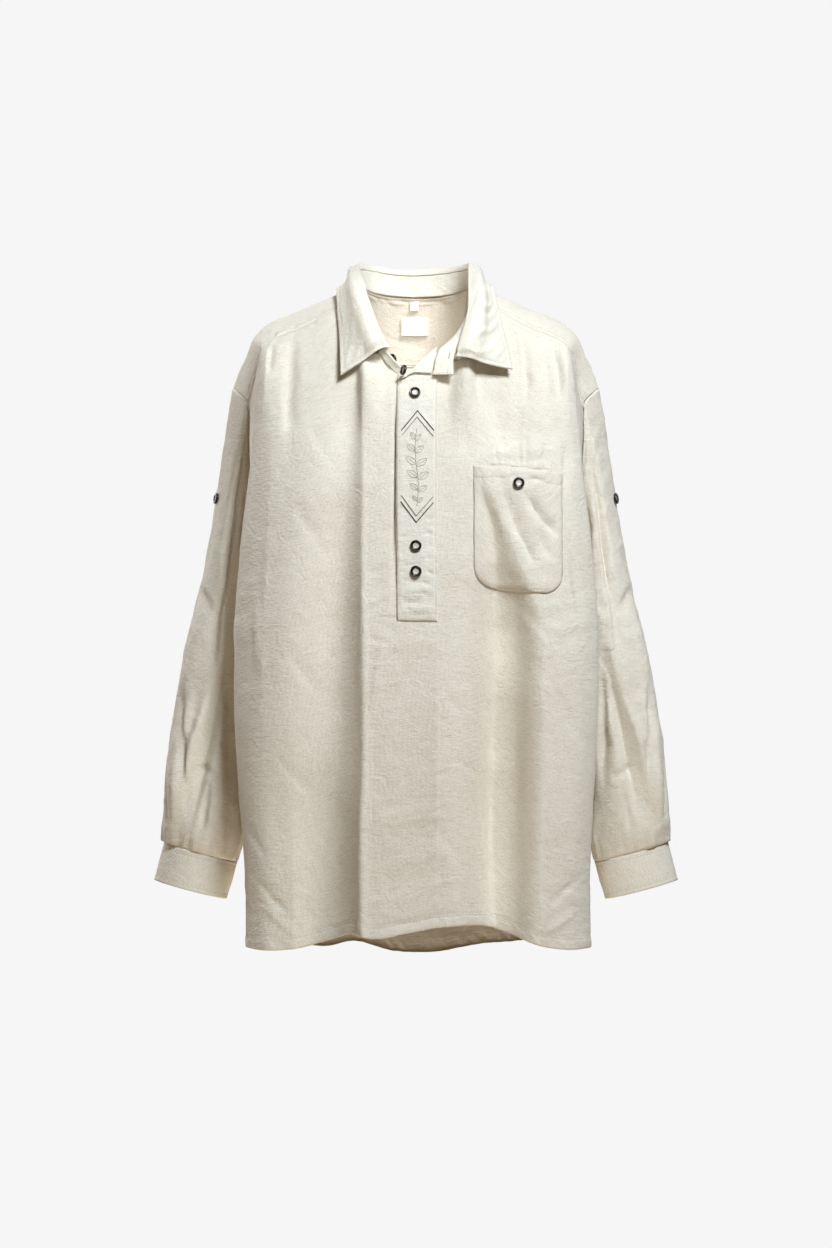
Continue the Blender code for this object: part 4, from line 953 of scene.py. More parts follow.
def long_folds(rows, x, z):
    """Beside a ridge the cloth drops, then comes back slowly: t times e to the half of 1 - t squared."""
    total = np.zeros(np.broadcast_shapes(np.shape(x), np.shape(z)))
    for seed, (soft, stations) in enumerate(rows):
        level, ridge, wide, deep = np.array(stations).T
        place = spline(level, ridge, np.clip(z, level[0], level[-1]))
        width = spline(level, wide, np.clip(z, level[0], level[-1]))
        depth = np.interp(z, level, deep) * (1 + 0.18 * smooth_noise(z, 0 * z, 0.08, 1, 3 + seed))
        t = (place + 0.0030 * smooth_noise(z, 0 * z, 0.11, 1, 20 + seed) - x) / width
        dip = np.where(t > 0, t * np.exp((1 - t * t) / 2), 0) ** soft
        edge = np.exp(-((t / 0.15) ** 2)) * (soft == 1)
        total += 0.08 * depth * edge - depth * dip
    return total


# Places where washing and wear have crumpled the cloth most: across, level, half width, half height, gain
CRUMPLED = (
    (0.000, -0.640, 0.045, 0.150, 1.5), (0.005, -0.745, 0.060, 0.040, 1.4), (-0.170, -0.745, 0.060, 0.050, 1.5),
    (0.175, -0.730, 0.045, 0.060, 1.6), (-0.045, -0.400, 0.026, 0.050, 1.4), (-0.195, -0.420, 0.030, 0.090, 1.2),
    (0.120, -0.200, 0.050, 0.026, 1.8), (0.170, -0.420, 0.045, 0.080, 1.2), (-0.140, -0.110, 0.045, 0.050, 0.8),
)


def crumpled(rows, x, z, seed):
    """Finer, stronger crumple in round zones that fade outwards as bells."""
    zones = sum(gain * np.exp(-(((x - x0) / wide) ** 2) - ((z - z0) / tall) ** 2) for x0, z0, wide, tall, gain in rows)
    return zones * rumple(x, z, seed, 0.0016, 2.2)


def front_relief(shares, x, z):
    """How far the front's cloth stands out from the smooth surface: folds, creases and washed crumple."""
    side = np.clip((1 - np.abs(shares)) / 0.04, 0, 1)
    fine = creases(FRONT_CREASES + POCKET_CREASES, x, z) + rumple(shares * 0.38, z, 11) + crumpled(CRUMPLED, x, z, 15)
    return side * (long_folds(LONG_FOLDS, x, z) + fine)


# %% Build the front
def build_front():
    """The front on a fine grid, with its slit, its rolled hem and its creases."""
    right, left = (np.concatenate([np.linspace(SLOT_HALF, 0.25, 24)[:-1], np.linspace(0.25, 1 - 0.0006, count)])
                   for count in (110, 150))
    shares = np.concatenate([-right[::-1], left])
    heights = front_heights(shares, (160, 110))
    near = np.argmin(np.abs(heights[:, len(right)] - PLACKET_BOTTOM))
    grid = front_points(shares, heights)
    u, v = reach(grid)
    relief = front_relief(shares[None], grid[..., 0], grid[..., 2])
    top = np.clip((v[-1] - v) / 0.010, 0, 1)
    pull = 0.0012 * smooth_noise(u, v, 0.0080, 0.03, 9) * bell(v[-1] - v, 0.0080, 0.0055)
    relief = relief * top + pull + hem_relief(u, v)
    grid = grid + facing(grid) * relief[..., None]
    keep = np.ones((len(heights) - 1, len(shares) - 1), bool)
    keep[near:, len(right) - 1] = False
    return piece_of("front_cloth", grid, LINEN, "front", keep=keep)


def hem_relief(u, v, seed=5):
    """A narrow turned hem: a raised band, a groove at its stitches and slanting puckers."""
    band = 0.0007 * np.clip((0.0135 - v) / 0.002, 0, 1)
    groove = -0.0009 * bell(v, 0.0130, 0.0016)
    twist = smooth_noise(u + 0.8 * v, v, 0.0065, 0.05, seed) + 0.5 * smooth_noise(u + 0.8 * v, v, 0.0035, 0.05, seed + 1)
    pucker = 0.0011 * twist * bell(v, 0.008, 0.008)
    return band + groove + pucker


build_front()

# %% [markdown]
# ## The back and the yoke
# The back hangs from the yoke seam in soft vertical folds. The yoke lies over both shoulders, so
# it is nearly smooth, with small puckers along its seams.

# %% Build the back
BACK_CREASES = (
    (-0.150, -0.120, -0.158, -0.260, 0.007, -0.0030, 0.003),
    (0.148, -0.120, 0.160, -0.250, 0.007, -0.0030, -0.003),
    (-0.040, -0.100, -0.048, -0.260, 0.009, -0.0022, 0.002),
    (0.050, -0.100, 0.040, -0.280, 0.009, -0.0022, -0.002),
    (-0.180, -0.420, -0.120, -0.520, 0.008, -0.0020, 0.004),
    (0.182, -0.430, 0.125, -0.520, 0.008, -0.0020, -0.004),
    (-0.150, -0.580, -0.090, -0.640, 0.007, -0.0014, 0.003),
    (0.150, -0.600, 0.095, -0.650, 0.007, -0.0014, -0.003),
    (-0.060, -0.420, 0.020, -0.450, 0.007, -0.0010, 0.004),
    (-0.020, -0.540, 0.060, -0.520, 0.007, -0.0010, -0.004),
    (-0.190, -0.700, -0.130, -0.770, 0.006, -0.0014, 0.002),
    (0.190, -0.700, 0.130, -0.770, 0.006, -0.0014, -0.002),
)


def build_back():
    """The back on a fine grid, with long folds, creases and its hem."""
    half = np.linspace(0, 1 - 0.0006, 100)
    shares = np.concatenate([-half[:0:-1], half])
    hem = columns(HEM_COLUMNS, BACK_HEM)
    low_x = back_points(shares, np.full((1, len(shares)), -0.80))[0, :, 0]
    foot = spline(hem["x"], hem["z"], low_x)
    top = CHEST + BLADE_DROP - SEAM_GAP
    low = foot + (ARMPIT_Z - foot) * np.linspace(0, 1, 130)[:, None]
    high = np.broadcast_to((ARMPIT_Z + (top - ARMPIT_Z) * np.linspace(0, 1, 72)[1:])[:, None], (71, len(shares)))
    grid = back_points(shares, np.concatenate([low, high]))
    u, v = reach(grid)
    side = np.clip((1 - np.abs(shares)) / 0.04, 0, 1)
    relief = side * (creases(BACK_CREASES, grid[..., 0], grid[..., 2]) + rumple(shares[None] * 0.33 + 0 * v, grid[..., 2], 31))
    relief = relief * np.clip((v[-1] - v) / 0.010, 0, 1) + hem_relief(u, v, 7)
    grid = grid + facing(grid, -1)[..., :] * relief[..., None]
    return piece_of("back_cloth", grid, LINEN, "back", sign=-1)


build_back()

# %% [markdown]
# The yoke's seams pull it, so it has puckers and a groove along both.

# %% Build the yoke
YOKE_CREASES = (
    (-0.205, 0.000, -0.212, 0.040, 0.006, -0.0030, 0.001),
    (0.205, 0.000, 0.212, 0.040, 0.006, -0.0030, -0.001),
    (-0.120, -0.010, -0.185, 0.020, 0.007, -0.0012, 0.004),
    (0.110, -0.010, 0.180, 0.020, 0.007, -0.0012, -0.004),
)


def build_yoke():
    """The yoke on a fine grid: distance across by distance over the shoulder."""
    half = np.concatenate([np.linspace(0, 0.25, 30)[:-1], np.linspace(0.25, 1 - 0.0006, 120)])
    shares = np.concatenate([-half[:0:-1], half])
    travel = np.concatenate([np.linspace(0.014, 0.140, 18)[:-1], np.linspace(0.140, 1.880, 58), np.linspace(1.880, 1.990, 15)[1:]])
    grid = yoke_points(shares, yoke_heights(travel, shares))
    u, v = reach(grid)
    edge = np.clip(v / 0.006, 0, 1) * np.clip((v[-1] - v) / 0.006, 0, 1)
    edge = edge * np.clip((1 - np.abs(shares)) / 0.03, 0, 1)
    pucker = 0.0016 * smooth_noise(u, v, 0.0070, 0.03, 41) * bell(v, 0.0060, 0.0060)
    pucker += 0.0007 * smooth_noise(u, v, 0.0080, 0.03, 43) * bell(v[-1] - v, 0.005, 0.005)
    ditch = -0.0013 * bell(v, 0.0018, 0.0012) - 0.0006 * bell(v, 0.0085, 0.0012)
    ditch -= 0.0011 * bell(v[-1] - v, 0.0018, 0.0012)
    relief = edge * (creases(YOKE_CREASES, grid[..., 0], grid[..., 1]) + rumple(u, v, 45, 0.0005) + pucker) + ditch
    grid = grid + facing(grid) * relief[..., None]
    piece_of("yoke_cloth", grid, LINEN, "yoke")
    MADE["yoke_back"] = tuple(field[:len(travel) // 2:-1] for field in MADE["yoke_cloth"])


build_yoke()

# %% [markdown]
# ## Sleeves and cuffs
# Each sleeve is a tube from the armhole to the cuff. Long soft creases run down it, and small
# gathers crowd into the cuff seam. The cuffs are two layers and stiffer, so they stay smooth.

# %% Build the sleeves
# Columns: start round, start down, end round, end down (round and down in metres), half width, depth, bow
SLEEVE_CREASES = (
    (0.060, 0.150, 0.085, 0.330, 0.008, 0.0030, 0.004),
    (0.068, 0.080, 0.078, 0.360, 0.009, -0.0050, 0.003),
    (0.036, 0.180, 0.030, 0.640, 0.024, 0.0042, 0.0),
    (0.098, 0.300, 0.062, 0.548, 0.010, -0.0052, 0.004),
    (0.050, 0.340, 0.040, 0.550, 0.008, 0.0034, 0.002),
    (0.030, 0.330, 0.060, 0.520, 0.006, -0.0028, 0.004),
    (0.075, 0.360, 0.050, 0.530, 0.006, 0.0030, -0.003),
    (0.100, 0.300, 0.120, 0.500, 0.008, -0.0030, 0.004),
    (0.050, 0.020, 0.070, 0.170, 0.007, -0.0024, 0.002),
    (0.095, 0.040, 0.110, 0.200, 0.008, -0.0026, 0.003),
    (0.015, 0.420, 0.035, 0.540, 0.005, -0.0022, 0.002),
    (0.090, 0.460, 0.080, 0.545, 0.005, -0.0022, 0.002),
    (0.200, 0.060, 0.215, 0.220, 0.008, -0.0026, 0.003),
    (0.230, 0.240, 0.210, 0.420, 0.008, -0.0028, 0.004),
    (0.260, 0.330, 0.245, 0.520, 0.007, 0.0026, 0.003),
    (0.290, 0.150, 0.275, 0.330, 0.008, -0.0026, 0.003),
    (0.180, 0.300, 0.165, 0.480, 0.007, -0.0026, 0.003),
    (0.140, 0.420, 0.150, 0.540, 0.006, -0.0022, 0.002),
    (0.020, 0.230, 0.070, 0.270, 0.007, -0.0014, 0.003),
    (0.240, 0.200, 0.300, 0.240, 0.007, -0.0014, 0.003),
    (0.060, 0.450, 0.110, 0.470, 0.005, -0.0012, 0.002),
    (0.200, 0.450, 0.260, 0.480, 0.005, -0.0012, 0.002),
)


def sleeve_grid(seed):
    """The left sleeve's cloth as a grid, turns by travel, with creases and gathers at the cuff."""
    turns = np.arange(150) / 150
    travel = np.linspace(0, 1, 190)
    grid = sleeve_points(turns, travel)
    u = turns[None] * 0.34 + 0 * travel[:, None]
    v = travel[:, None] * 0.56 + 0 * turns[None]
    relief = 1.7 * creases(SLEEVE_CREASES, u, v) + rumple(u, v, seed, 0.0016, 0.8)
    gather = smooth_noise(u, v, 0.0075, 0.3, seed + 9) + 0.6 * smooth_noise(u, v, 0.013, 0.3, seed + 10)
    relief += 0.0022 * gather * bell(v, 0.555, 0.026)
    ends = np.clip(v / 0.012, 0, 1) * np.clip((0.56 - v) / 0.003, 0, 1)
    return grid + facing(grid, 1, closed=True) * (relief * ends)[..., None]


MIRROR = np.array([-1, 1, 1])
piece_of("sleeve_left_cloth", sleeve_grid(51), LINEN, "sleeve_left", closed=True, level=-1)
piece_of("sleeve_right_cloth", sleeve_grid(61) * MIRROR, LINEN, "sleeve_right", closed=True, sign=-1, level=-1)


# %% [markdown]
# A cuff is stiffened, so it is a nearly smooth ring that a button closes at the rear.

# %% Build the cuffs
def cuff_grid(seed):
    """The left cuff: rings of the cuff's table, with overlapping ends and a slight ripple."""
    turns = np.linspace(0.78, 1.90, 120)
    over = np.clip((turns - 1.66) / 0.10, 0, 1) * 0.0028
    size = columns(SLEEVE_COLUMNS, CUFF_SECTIONS)
    steps = np.linspace(0, 1, 24)
    rows = []
    for step in steps:
        row = {key: float(np.interp(step, [0, 0.5, 1], size[key])) for key in SLEEVE_COLUMNS}
        points = ring(row, turns)
        outward = points - [row["x"], row["y"], row["z"]]
        rows.append(points + outward / np.linalg.norm(outward, axis=1)[:, None] * over[:, None])
    grid = np.stack(rows)
    u, v = reach(grid)
    relief = rumple(u, v, seed, 0.0004)
    for level in (0.0055, float(v.max()) - 0.0055):
        relief -= 0.0004 * bell(v, level, 0.0012)
    return grid + facing(grid) * relief[..., None]


piece_of("cuff_left_cloth", cuff_grid(71), LINEN, "cuff_left", wall=DOUBLE_CLOTH, folded=True,
         grain=np.pi / 2)
piece_of("cuff_right_cloth", cuff_grid(75) * MIRROR, LINEN, "cuff_right", wall=DOUBLE_CLOTH, sign=-1,
         folded=True, grain=np.pi / 2)


# %% [markdown]
# ## Collar
# The stand follows the neck seam and the fall folds over it. On the wearer's left the stand's end
# is unbuttoned and turned out, so its inner face shows. A fused layer keeps both flat, and the
# stitches along the edges pull small dimples.

# %% Build the collar
def build_collar():
    """Stand and fall on fine grids, with a groove along the stitches near the outer edge."""
    grid = stand_points(np.linspace(0, 1, 300), np.linspace(0, 1, 22))
    u, v = reach(grid)
    relief = rumple(u, v, 81, 0.0005) + 0.0007 * smooth_noise(u, v, 0.007, 0.05, 83)
    grid = grid + facing(grid) * relief[..., None]
    piece_of("collar_stand_cloth", grid, LINEN_BAND, "collar_stand", wall=DOUBLE_CLOTH, folded=True)
    across = np.concatenate([np.linspace(0, 0.17, 14)[:-1], np.linspace(0.17, 1, 42)])
    grid = fall_points(np.linspace(0, 1, 300), across)
    u, v = reach(grid)
    near = np.minimum(np.minimum(v[-1] - v, u), u[:, -1:] - u)
    relief = rumple(u, v, 85, 0.0006) - 0.0005 * bell(near, 0.0055, 0.0013)
    leaf = np.clip((-0.015 - grid[..., 1]) / 0.04, 0, 1) * np.clip(near / 0.010, 0, 1) * np.clip((v - 0.010) / 0.012, 0, 1)
    relief += leaf * 0.0011 * smooth_noise(u + 1.1 * v, v - 0.4 * u, 0.011, 0.045, 87)
    relief += 0.0062 * leaf * bell(v, 0.022, 0.016)
    relief *= np.clip(v / 0.006, 0, 1)
    grid = grid + facing(grid) * relief[..., None]
    piece_of("collar_fall_cloth", grid, LINEN_BAND, "collar_fall", wall=DOUBLE_CLOTH, folded=True)


build_collar()

# %% [markdown]
# ## Placket, pocket and labels
# These lie on the panels, so their grids are places on the panel's surface, moved out.

# %% Build the placket bands
def placket_grid(count_x, count_z):
    """The over band's points: rows up the band, then over its turned-out top end."""
    x = np.linspace(PLACKET_LEFT, PLACKET_RIGHT, count_x)
    edge = columns(("x", "z"), PLACKET_TOP)
    top = spline(edge["x"], edge["z"], x)
    down = np.linspace(0, 1, count_z)[:, None]
    z = PLACKET_BOTTOM + (top - PLACKET_BOTTOM) * down
    foot = np.minimum(np.interp(x, [-0.0106, 0.003, 0.025], [-0.1110, -0.1080, -0.1095]), top - 0.0015)
    steps = np.linspace(0, len(FLAP_DOWN) - 1, 22)
    flap_down = np.interp(steps, np.arange(len(FLAP_DOWN)), FLAP_DOWN)[:, None]
    flap_out = np.interp(steps, np.arange(len(FLAP_OUT)), FLAP_OUT)
    turned_x = x - FLAP_NARROWING * (x - PLACKET_LEFT) / (PLACKET_RIGHT - PLACKET_LEFT) * flap_down
    x = np.concatenate([np.broadcast_to(x, z.shape), turned_x])
    z = np.concatenate([z, top + (foot - top) * flap_down])
    out = np.concatenate([np.full(count_z, 0.0028), flap_out])[:, None] + 0 * x
    sewn = np.clip((PLACKET_RIGHT - x) / 0.004, 0, 1) * np.clip((z - PLACKET_BOTTOM) / 0.009, 0, 1)
    out[:count_z] = 0.0009 + 0.0019 * np.sqrt(sewn[:count_z])
    grid, _ = on_cloth("front_cloth", x, z, out)
    return grid, x, z


def build_plackets():
    """Over band with creases and stitched edges, and the under band behind the slit."""
    grid, x, z = placket_grid(30, 150)
    u, v = reach(grid)
    edge = np.minimum(x - PLACKET_LEFT, PLACKET_RIGHT - x)
    relief = -0.0005 * bell(edge, 0.0022, 0.0009) * (v < 0.29)
    rows = ((-0.022, -0.352, 0.014, -0.356, 0.003, -0.0009, 0.001), (-0.018, -0.366, 0.025, -0.362, 0.003, 0.0008, 0.001),
            (-0.022, -0.378, 0.012, -0.380, 0.003, -0.0010, 0.001), (-0.010, -0.388, 0.024, -0.385, 0.003, 0.0008, 0.001),
            (-0.022, -0.394, 0.020, -0.396, 0.002, -0.0007, 0.000), (-0.020, -0.338, 0.010, -0.334, 0.003, -0.0006, 0.001),
            (0.004, -0.146, 0.022, -0.170, 0.004, -0.0005, 0.001), (-0.020, -0.150, -0.004, -0.144, 0.003, -0.0006, 0.0),
            (0.006, -0.2790, 0.0235, -0.2825, 0.0018, -0.0009, 0.001), (0.010, -0.2890, 0.0240, -0.2900, 0.0015, -0.0007, 0.0),
            (0.008, -0.2975, 0.0230, -0.3010, 0.0018, -0.0009, 0.0), (0.012, -0.3120, 0.0240, -0.3135, 0.0016, -0.0008, 0.001),
            (0.009, -0.3260, 0.0235, -0.3280, 0.0019, -0.0009, 0.001), (0.010, -0.3420, 0.0235, -0.3475, 0.0018, -0.0010, 0.001),
            (0.006, -0.3560, 0.0160, -0.3610, 0.0017, -0.0010, 0.0), (0.004, -0.3690, 0.0220, -0.3730, 0.0018, -0.0009, 0.001),
            (-0.021, -0.2700, -0.0120, -0.2720, 0.0015, -0.0007, 0.0), (-0.021, -0.3020, -0.0100, -0.3005, 0.0017, -0.0008, 0.001),
            (-0.021, -0.3220, -0.0130, -0.3240, 0.0015, -0.0007, 0.0), (-0.021, -0.3440, -0.0090, -0.3430, 0.0018, -0.0008, 0.001))
    relief = relief + creases(rows, x, z) + rumple(u, v, 91, 0.0006)
    grid = grid + facing(grid) * relief[..., None]
    piece_of("placket_over_cloth", grid, LINEN_BAND, "placket_over", wall=0.0012, folded=True,
             flat=(0.048, 0.330))
    MADE["band"] = tuple(field[:150] for field in MADE["placket_over_cloth"])
    x = np.linspace(-0.0235, 0.0180, 14)
    z = PLACKET_BOTTOM + 0.006 + (-0.120 - PLACKET_BOTTOM - 0.006) * np.linspace(0, 1, 90)[:, None]
    z = np.broadcast_to(z, (90, 14))
    grid, _ = on_cloth("front_cloth", x + 0 * z, z, -CLOTH - SEAM_GAP)
    piece_of("placket_under_cloth", grid, LINEN_BAND, "placket_under", wall=DOUBLE_CLOTH, folded=True)


build_plackets()


# %% [markdown]
# The pocket is laid on the finished front, so it shares every fold behind it.

# %% Build the pocket
def build_pocket():
    """The patch pocket: rounded foot, hemmed mouth that stands a little open, soft diagonal folds."""
    width = POCKET_RIGHT - POCKET_LEFT
    across = np.linspace(0, 1, 60)
    across = across - 0.035 * np.sin(2 * np.pi * across)
    x = POCKET_LEFT + width * across
    side = np.clip(POCKET_CORNER - np.minimum(across, 1 - across) * width, 0, POCKET_CORNER)
    mouth = np.interp(across, [0, 1], POCKET_MOUTH)
    foot = np.interp(across, [0, 1], POCKET_FOOT) + POCKET_CORNER - np.sqrt(POCKET_CORNER**2 - side**2)
    down = np.linspace(0, 1, 76)[:, None]
    z = foot + (mouth - foot) * down
    puff = 0.0030 * np.sin(np.pi * across) ** 2 * down**3
    x = np.broadcast_to(x, z.shape)
    rim = np.minimum(np.minimum(across, 1 - across) * width, (z - foot) * 1.0)
    lie = np.clip(rim / 0.008, 0, 1)
    grid, _ = on_cloth("front_cloth", x, z, 0.0014 + (CLOTH + puff) * lie * (2 - lie))
    u, v = reach(grid)
    from_top = v[-1] - v
    edge = np.minimum(np.minimum(u, u[:, -1:] - u), v)
    relief = np.maximum(rumple(u, v, 95, 0.0008), -0.0009) * np.clip(edge / 0.012, 0, 1)
    relief -= 0.0007 * bell(from_top, 0.0140, 0.0014)
    relief += 0.0009 * smooth_noise(u, v, 0.008, 0.02, 97) * bell(from_top, 0.016, 0.008)
    relief -= 0.0005 * bell(edge, 0.0022, 0.0009)
    grid = grid + facing(grid) * relief[..., None]
    piece_of("pocket_cloth", grid, LINEN, "pocket", wall=0.0009, folded=True)


build_pocket()


# %% [markdown]
# Both are bare woven tape, laid against the inside of the yoke.

# %% Build the label and the size tab
def build_labels():
    """Two bare pieces of woven tape inside the back of the neck."""
    for name, left, right, top, foot in (("label", -0.019, 0.015, -0.023, -0.0455),
                                         ("size_tab", -0.0075, 0.0034, -0.0035, -0.0150)):
        x, z = np.meshgrid(np.linspace(left, right, 24), np.linspace(top, foot, 20))
        grid, _ = on_cloth("yoke_back", x, z, -0.0028)
        u, v = reach(grid)
        grid = grid + facing(grid, -1) * (0.0002 * smooth_noise(u, v, 0.006, 0.006, 99))[..., None]
        piece_of(name + "_tape", grid, TAPE, name, wall=0.001, folded=True)


build_labels()

# %% [markdown]
# ## Buttons
# Each button is a turned disc: a dark polished rim round a pale dished middle. The disc is a
# profile carried round its axis, computed as one array.

# %% Build the buttons
RIM_PROFILE = ((0.0034, 0.0020), (0.0038, 0.0027), (0.0046, 0.0034), (0.0054, 0.0036), (0.0061, 0.0034),
               (0.0066, 0.0028), (0.0067, 0.0020), (0.0066, 0.0010), (0.0060, 0.0003), (0.0050, 0.0000), (0.0, 0.0))
FACE_PROFILE = ((0.0, 0.0015), (0.0010, 0.0015), (0.0020, 0.0016), (0.0029, 0.0018), (0.0034, 0.0020))


def turned(profile, sides=40):
    """Points and faces of a profile carried round the z axis: radius times cosine and sine."""
    profile = np.array(profile)
    angle = 2 * np.pi * np.arange(sides) / sides
    points = np.stack([profile[:, :1] * np.cos(angle), profile[:, :1] * np.sin(angle),
                       np.broadcast_to(profile[:, 1:], (len(profile), sides))], -1)
    i, j = np.meshgrid(np.arange(len(profile) - 1), np.arange(sides), indexing="ij")
    k = (j + 1) % sides
    faces = np.stack([i * sides + j, (i + 1) * sides + j, (i + 1) * sides + k, i * sides + k], -1)
    return points.reshape(-1, 3), faces.reshape(-1, 4)


def frame_at(place, facing_to):
    """A turning matrix that carries the z axis to a facing, with its place."""
    z = np.array(facing_to) / np.linalg.norm(facing_to)
    x = np.cross([0.0, 0.0, 1.0] if abs(z[2]) < 0.9 else [1.0, 0.0, 0.0], z)
    x /= np.linalg.norm(x)
    return np.stack([x, np.cross(z, x), z]), np.array(place)


def build_button(name, place, facing_to):
    """A rim and a pale face, merged into one closed disc with two materials."""
    turn, at = frame_at(place, facing_to)
    rim, rim_faces = turned(RIM_PROFILE)
    face, face_faces = turned(FACE_PROFILE)
    points = np.concatenate([rim, face]) @ turn + at
    faces = np.concatenate([rim_faces, face_faces + len(rim)])
    mesh = bpy.data.meshes.new(name)
    mesh.from_pydata(points.tolist(), [], faces.tolist())
    mesh.materials.append(HORN)
    mesh.materials.append(PEARL)
    mesh.polygons.foreach_set("material_index", [0] * len(rim_faces) + [1] * len(face_faces))
    shape = bmesh.new()
    shape.from_mesh(mesh)
    bmesh.ops.remove_doubles(shape, verts=shape.verts, dist=0.00002)
    bmesh.ops.recalc_face_normals(shape, faces=shape.faces)
    shape.to_mesh(mesh)
    shape.free()
    mesh.shade_smooth()
    made = bpy.data.objects.new(name, mesh)
    bpy.context.scene.collection.objects.link(made)
    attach(made, "root")
    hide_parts(name.replace("_turned", ""))
    return made


def build_buttons():
    """All buttons at the places that the solids' tables give."""
    for row in FRONT_BUTTONS:
        size = dict(zip(BUTTON_COLUMNS, row))
        places, ways = on_cloth("front_cloth", [size["x"]], [size["z"]], size["out"])
        build_button(size["name"] + "_turned", places[0], ways[0])
    build_button("button_placket_top_turned", TOP_BUTTON, TOP_BUTTON_FACES)
    grid = stand_points(np.array([0.085, 0.090]), np.array([0.55, 0.60]))
    way = np.cross(grid[0, 1] - grid[0, 0], grid[1, 0] - grid[0, 0])
    way = way / np.linalg.norm(way)
    build_button("button_stand_turned", grid[0, 0] + 0.0004 * way, way)
    grid = sleeve_points(np.array([0.035, 0.040]), np.array([0.225, 0.230]))
    way = np.cross(grid[0, 1] - grid[0, 0], grid[1, 0] - grid[0, 0])
    way = way / np.linalg.norm(way)
    for name, mirror in (("button_sleeve_left", 1), ("button_sleeve_right", -1)):
        build_button(name + "_turned", (grid[0, 0] + 0.0004 * way) * [mirror, 1, 1], way * [mirror, 1, 1])
    size = dict(zip(SLEEVE_COLUMNS, CUFF_SECTIONS[1]))
    near = ring(size, np.array([0.84]))[0]
    way = near - [size["x"], size["y"], size["z"]]
    way = way / np.linalg.norm(way)
    for name, mirror in (("button_cuff_left", 1), ("button_cuff_right", -1)):
        build_button(name + "_turned", (near + 0.0040 * way) * [mirror, 1, 1], way * [mirror, 1, 1])


build_buttons()

# %% [markdown]
# ## Stitching and embroidery
# A row of topstitching is hundreds of short threads that dip into the cloth. One small thread
# shape is placed along a path by arrays, and each set of stitches sewn together is one mesh.

# %% Stitch helpers
def inset(name, edge, distance):
    """Path and facing at a distance from an edge of a made grid, by lengths along the cloth."""
    grid, normal = MADE[name]
    if edge in ("left", "right"):
        grid, normal = grid.swapaxes(0, 1), normal.swapaxes(0, 1)
    if edge in ("right", "top"):
        grid, normal = grid[::-1], normal[::-1]
    _, v = reach(grid)
    row = np.clip((v < distance).sum(axis=0) - 1, 0, len(grid) - 2)
    col = np.arange(grid.shape[1])
    f = ((distance - v[row, col]) / np.maximum(v[row + 1, col] - v[row, col], 1e-9))[:, None]
    path = grid[row, col] * (1 - f) + grid[row + 1, col] * f
    return path, normal[row, col]


def clip_path(path, normal, start, end):
    """The stretch of a path between two lengths along it; a negative end counts from its far end."""
    along = np.concatenate([[0], np.cumsum(np.linalg.norm(np.diff(path, axis=0), axis=1))])
    end = along[-1] + end if end <= 0 else end
    inside = (along >= start) & (along <= end)
    return path[inside], normal[inside]


def thread_shape(sides=5):
    """One stitch, a unit long: rings of a thin spindle that dives at both ends."""
    t = np.array([-0.5, -0.36, 0.0, 0.36, 0.5])
    size = np.array([0.35, 0.9, 1.0, 0.9, 0.35])
    sink = np.array([-1.3, -0.2, 0.35, -0.2, -1.3])
    angle = 2 * np.pi * np.arange(sides) / sides
    x = np.broadcast_to(t[:, None], (5, sides))
    y = size[:, None] * np.cos(angle)
    z = size[:, None] * np.sin(angle) + sink[:, None]
    i, j = np.meshgrid(np.arange(4), np.arange(sides), indexing="ij")
    k = (j + 1) % sides
    faces = np.stack([i * sides + j, i * sides + k, (i + 1) * sides + k, (i + 1) * sides + j], -1).reshape(-1, 4)
    return np.stack([x, y, z], -1).reshape(-1, 3), faces


SPINDLE, SPINDLE_FACES = thread_shape()


def stitches(path, normal, pitch=0.0030, fill=0.74, radius=0.00032, lift=0.0, slant=0.0):
    """Stitches along a path: points of every spindle, each turned to the path and the cloth."""
    along = np.concatenate([[0], np.cumsum(np.linalg.norm(np.diff(path, axis=0), axis=1))])
    count = max(int(along[-1] / pitch), 1)
    at = (np.arange(count) + 0.5) * along[-1] / count
    here = np.stack([np.interp(at, along, path[:, k]) for k in range(3)], -1)
    ahead = np.stack([np.interp(at + 0.0004, along, path[:, k]) for k in range(3)], -1)
    behind = np.stack([np.interp(at - 0.0004, along, path[:, k]) for k in range(3)], -1)
    up = np.stack([np.interp(at, along, normal[:, k]) for k in range(3)], -1)
    up /= np.linalg.norm(up, axis=1)[:, None]
    run = ahead - behind
    run -= (run * up).sum(axis=1)[:, None] * up
    run /= np.maximum(np.linalg.norm(run, axis=1)[:, None], 1e-9)
    side = np.cross(up, run)
    run, side = run * np.cos(slant) + side * np.sin(slant), side * np.cos(slant) - run * np.sin(slant)
    size = np.array([pitch * fill, radius, radius])
    shape = SPINDLE * size
    return (here[:, None] + shape[None, :, :1] * run[:, None] + shape[None, :, 1:2] * side[:, None]
            + (shape[None, :, 2:] + lift) * up[:, None])


def sew(name, groups, material):
    """Joins groups of stitches into one mesh that rides on the shirt."""
    points = np.concatenate([g.reshape(-1, len(SPINDLE), 3) for g in groups])
    count = len(points)
    faces = (SPINDLE_FACES[None] + (np.arange(count) * len(SPINDLE))[:, None, None]).reshape(-1, 4)
    caps = np.stack([np.arange(5)[::-1], np.arange(20, 25)])
    caps = (caps[None] + (np.arange(count) * len(SPINDLE))[:, None, None]).reshape(-1, 5)
    mesh = bpy.data.meshes.new(name)
    mesh.from_pydata(points.reshape(-1, 3).tolist(), [], faces.tolist() + caps.tolist())
    mesh.shade_smooth()
    mesh.materials.append(material)
    made = bpy.data.objects.new(name, mesh)
    bpy.context.scene.collection.objects.link(made)
    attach(made, "root")
    print(f"{name}: {count} stitches")
    return made


# %% [markdown]
# Each row runs at a sewer's distance from an edge, so it moves with the cloth.

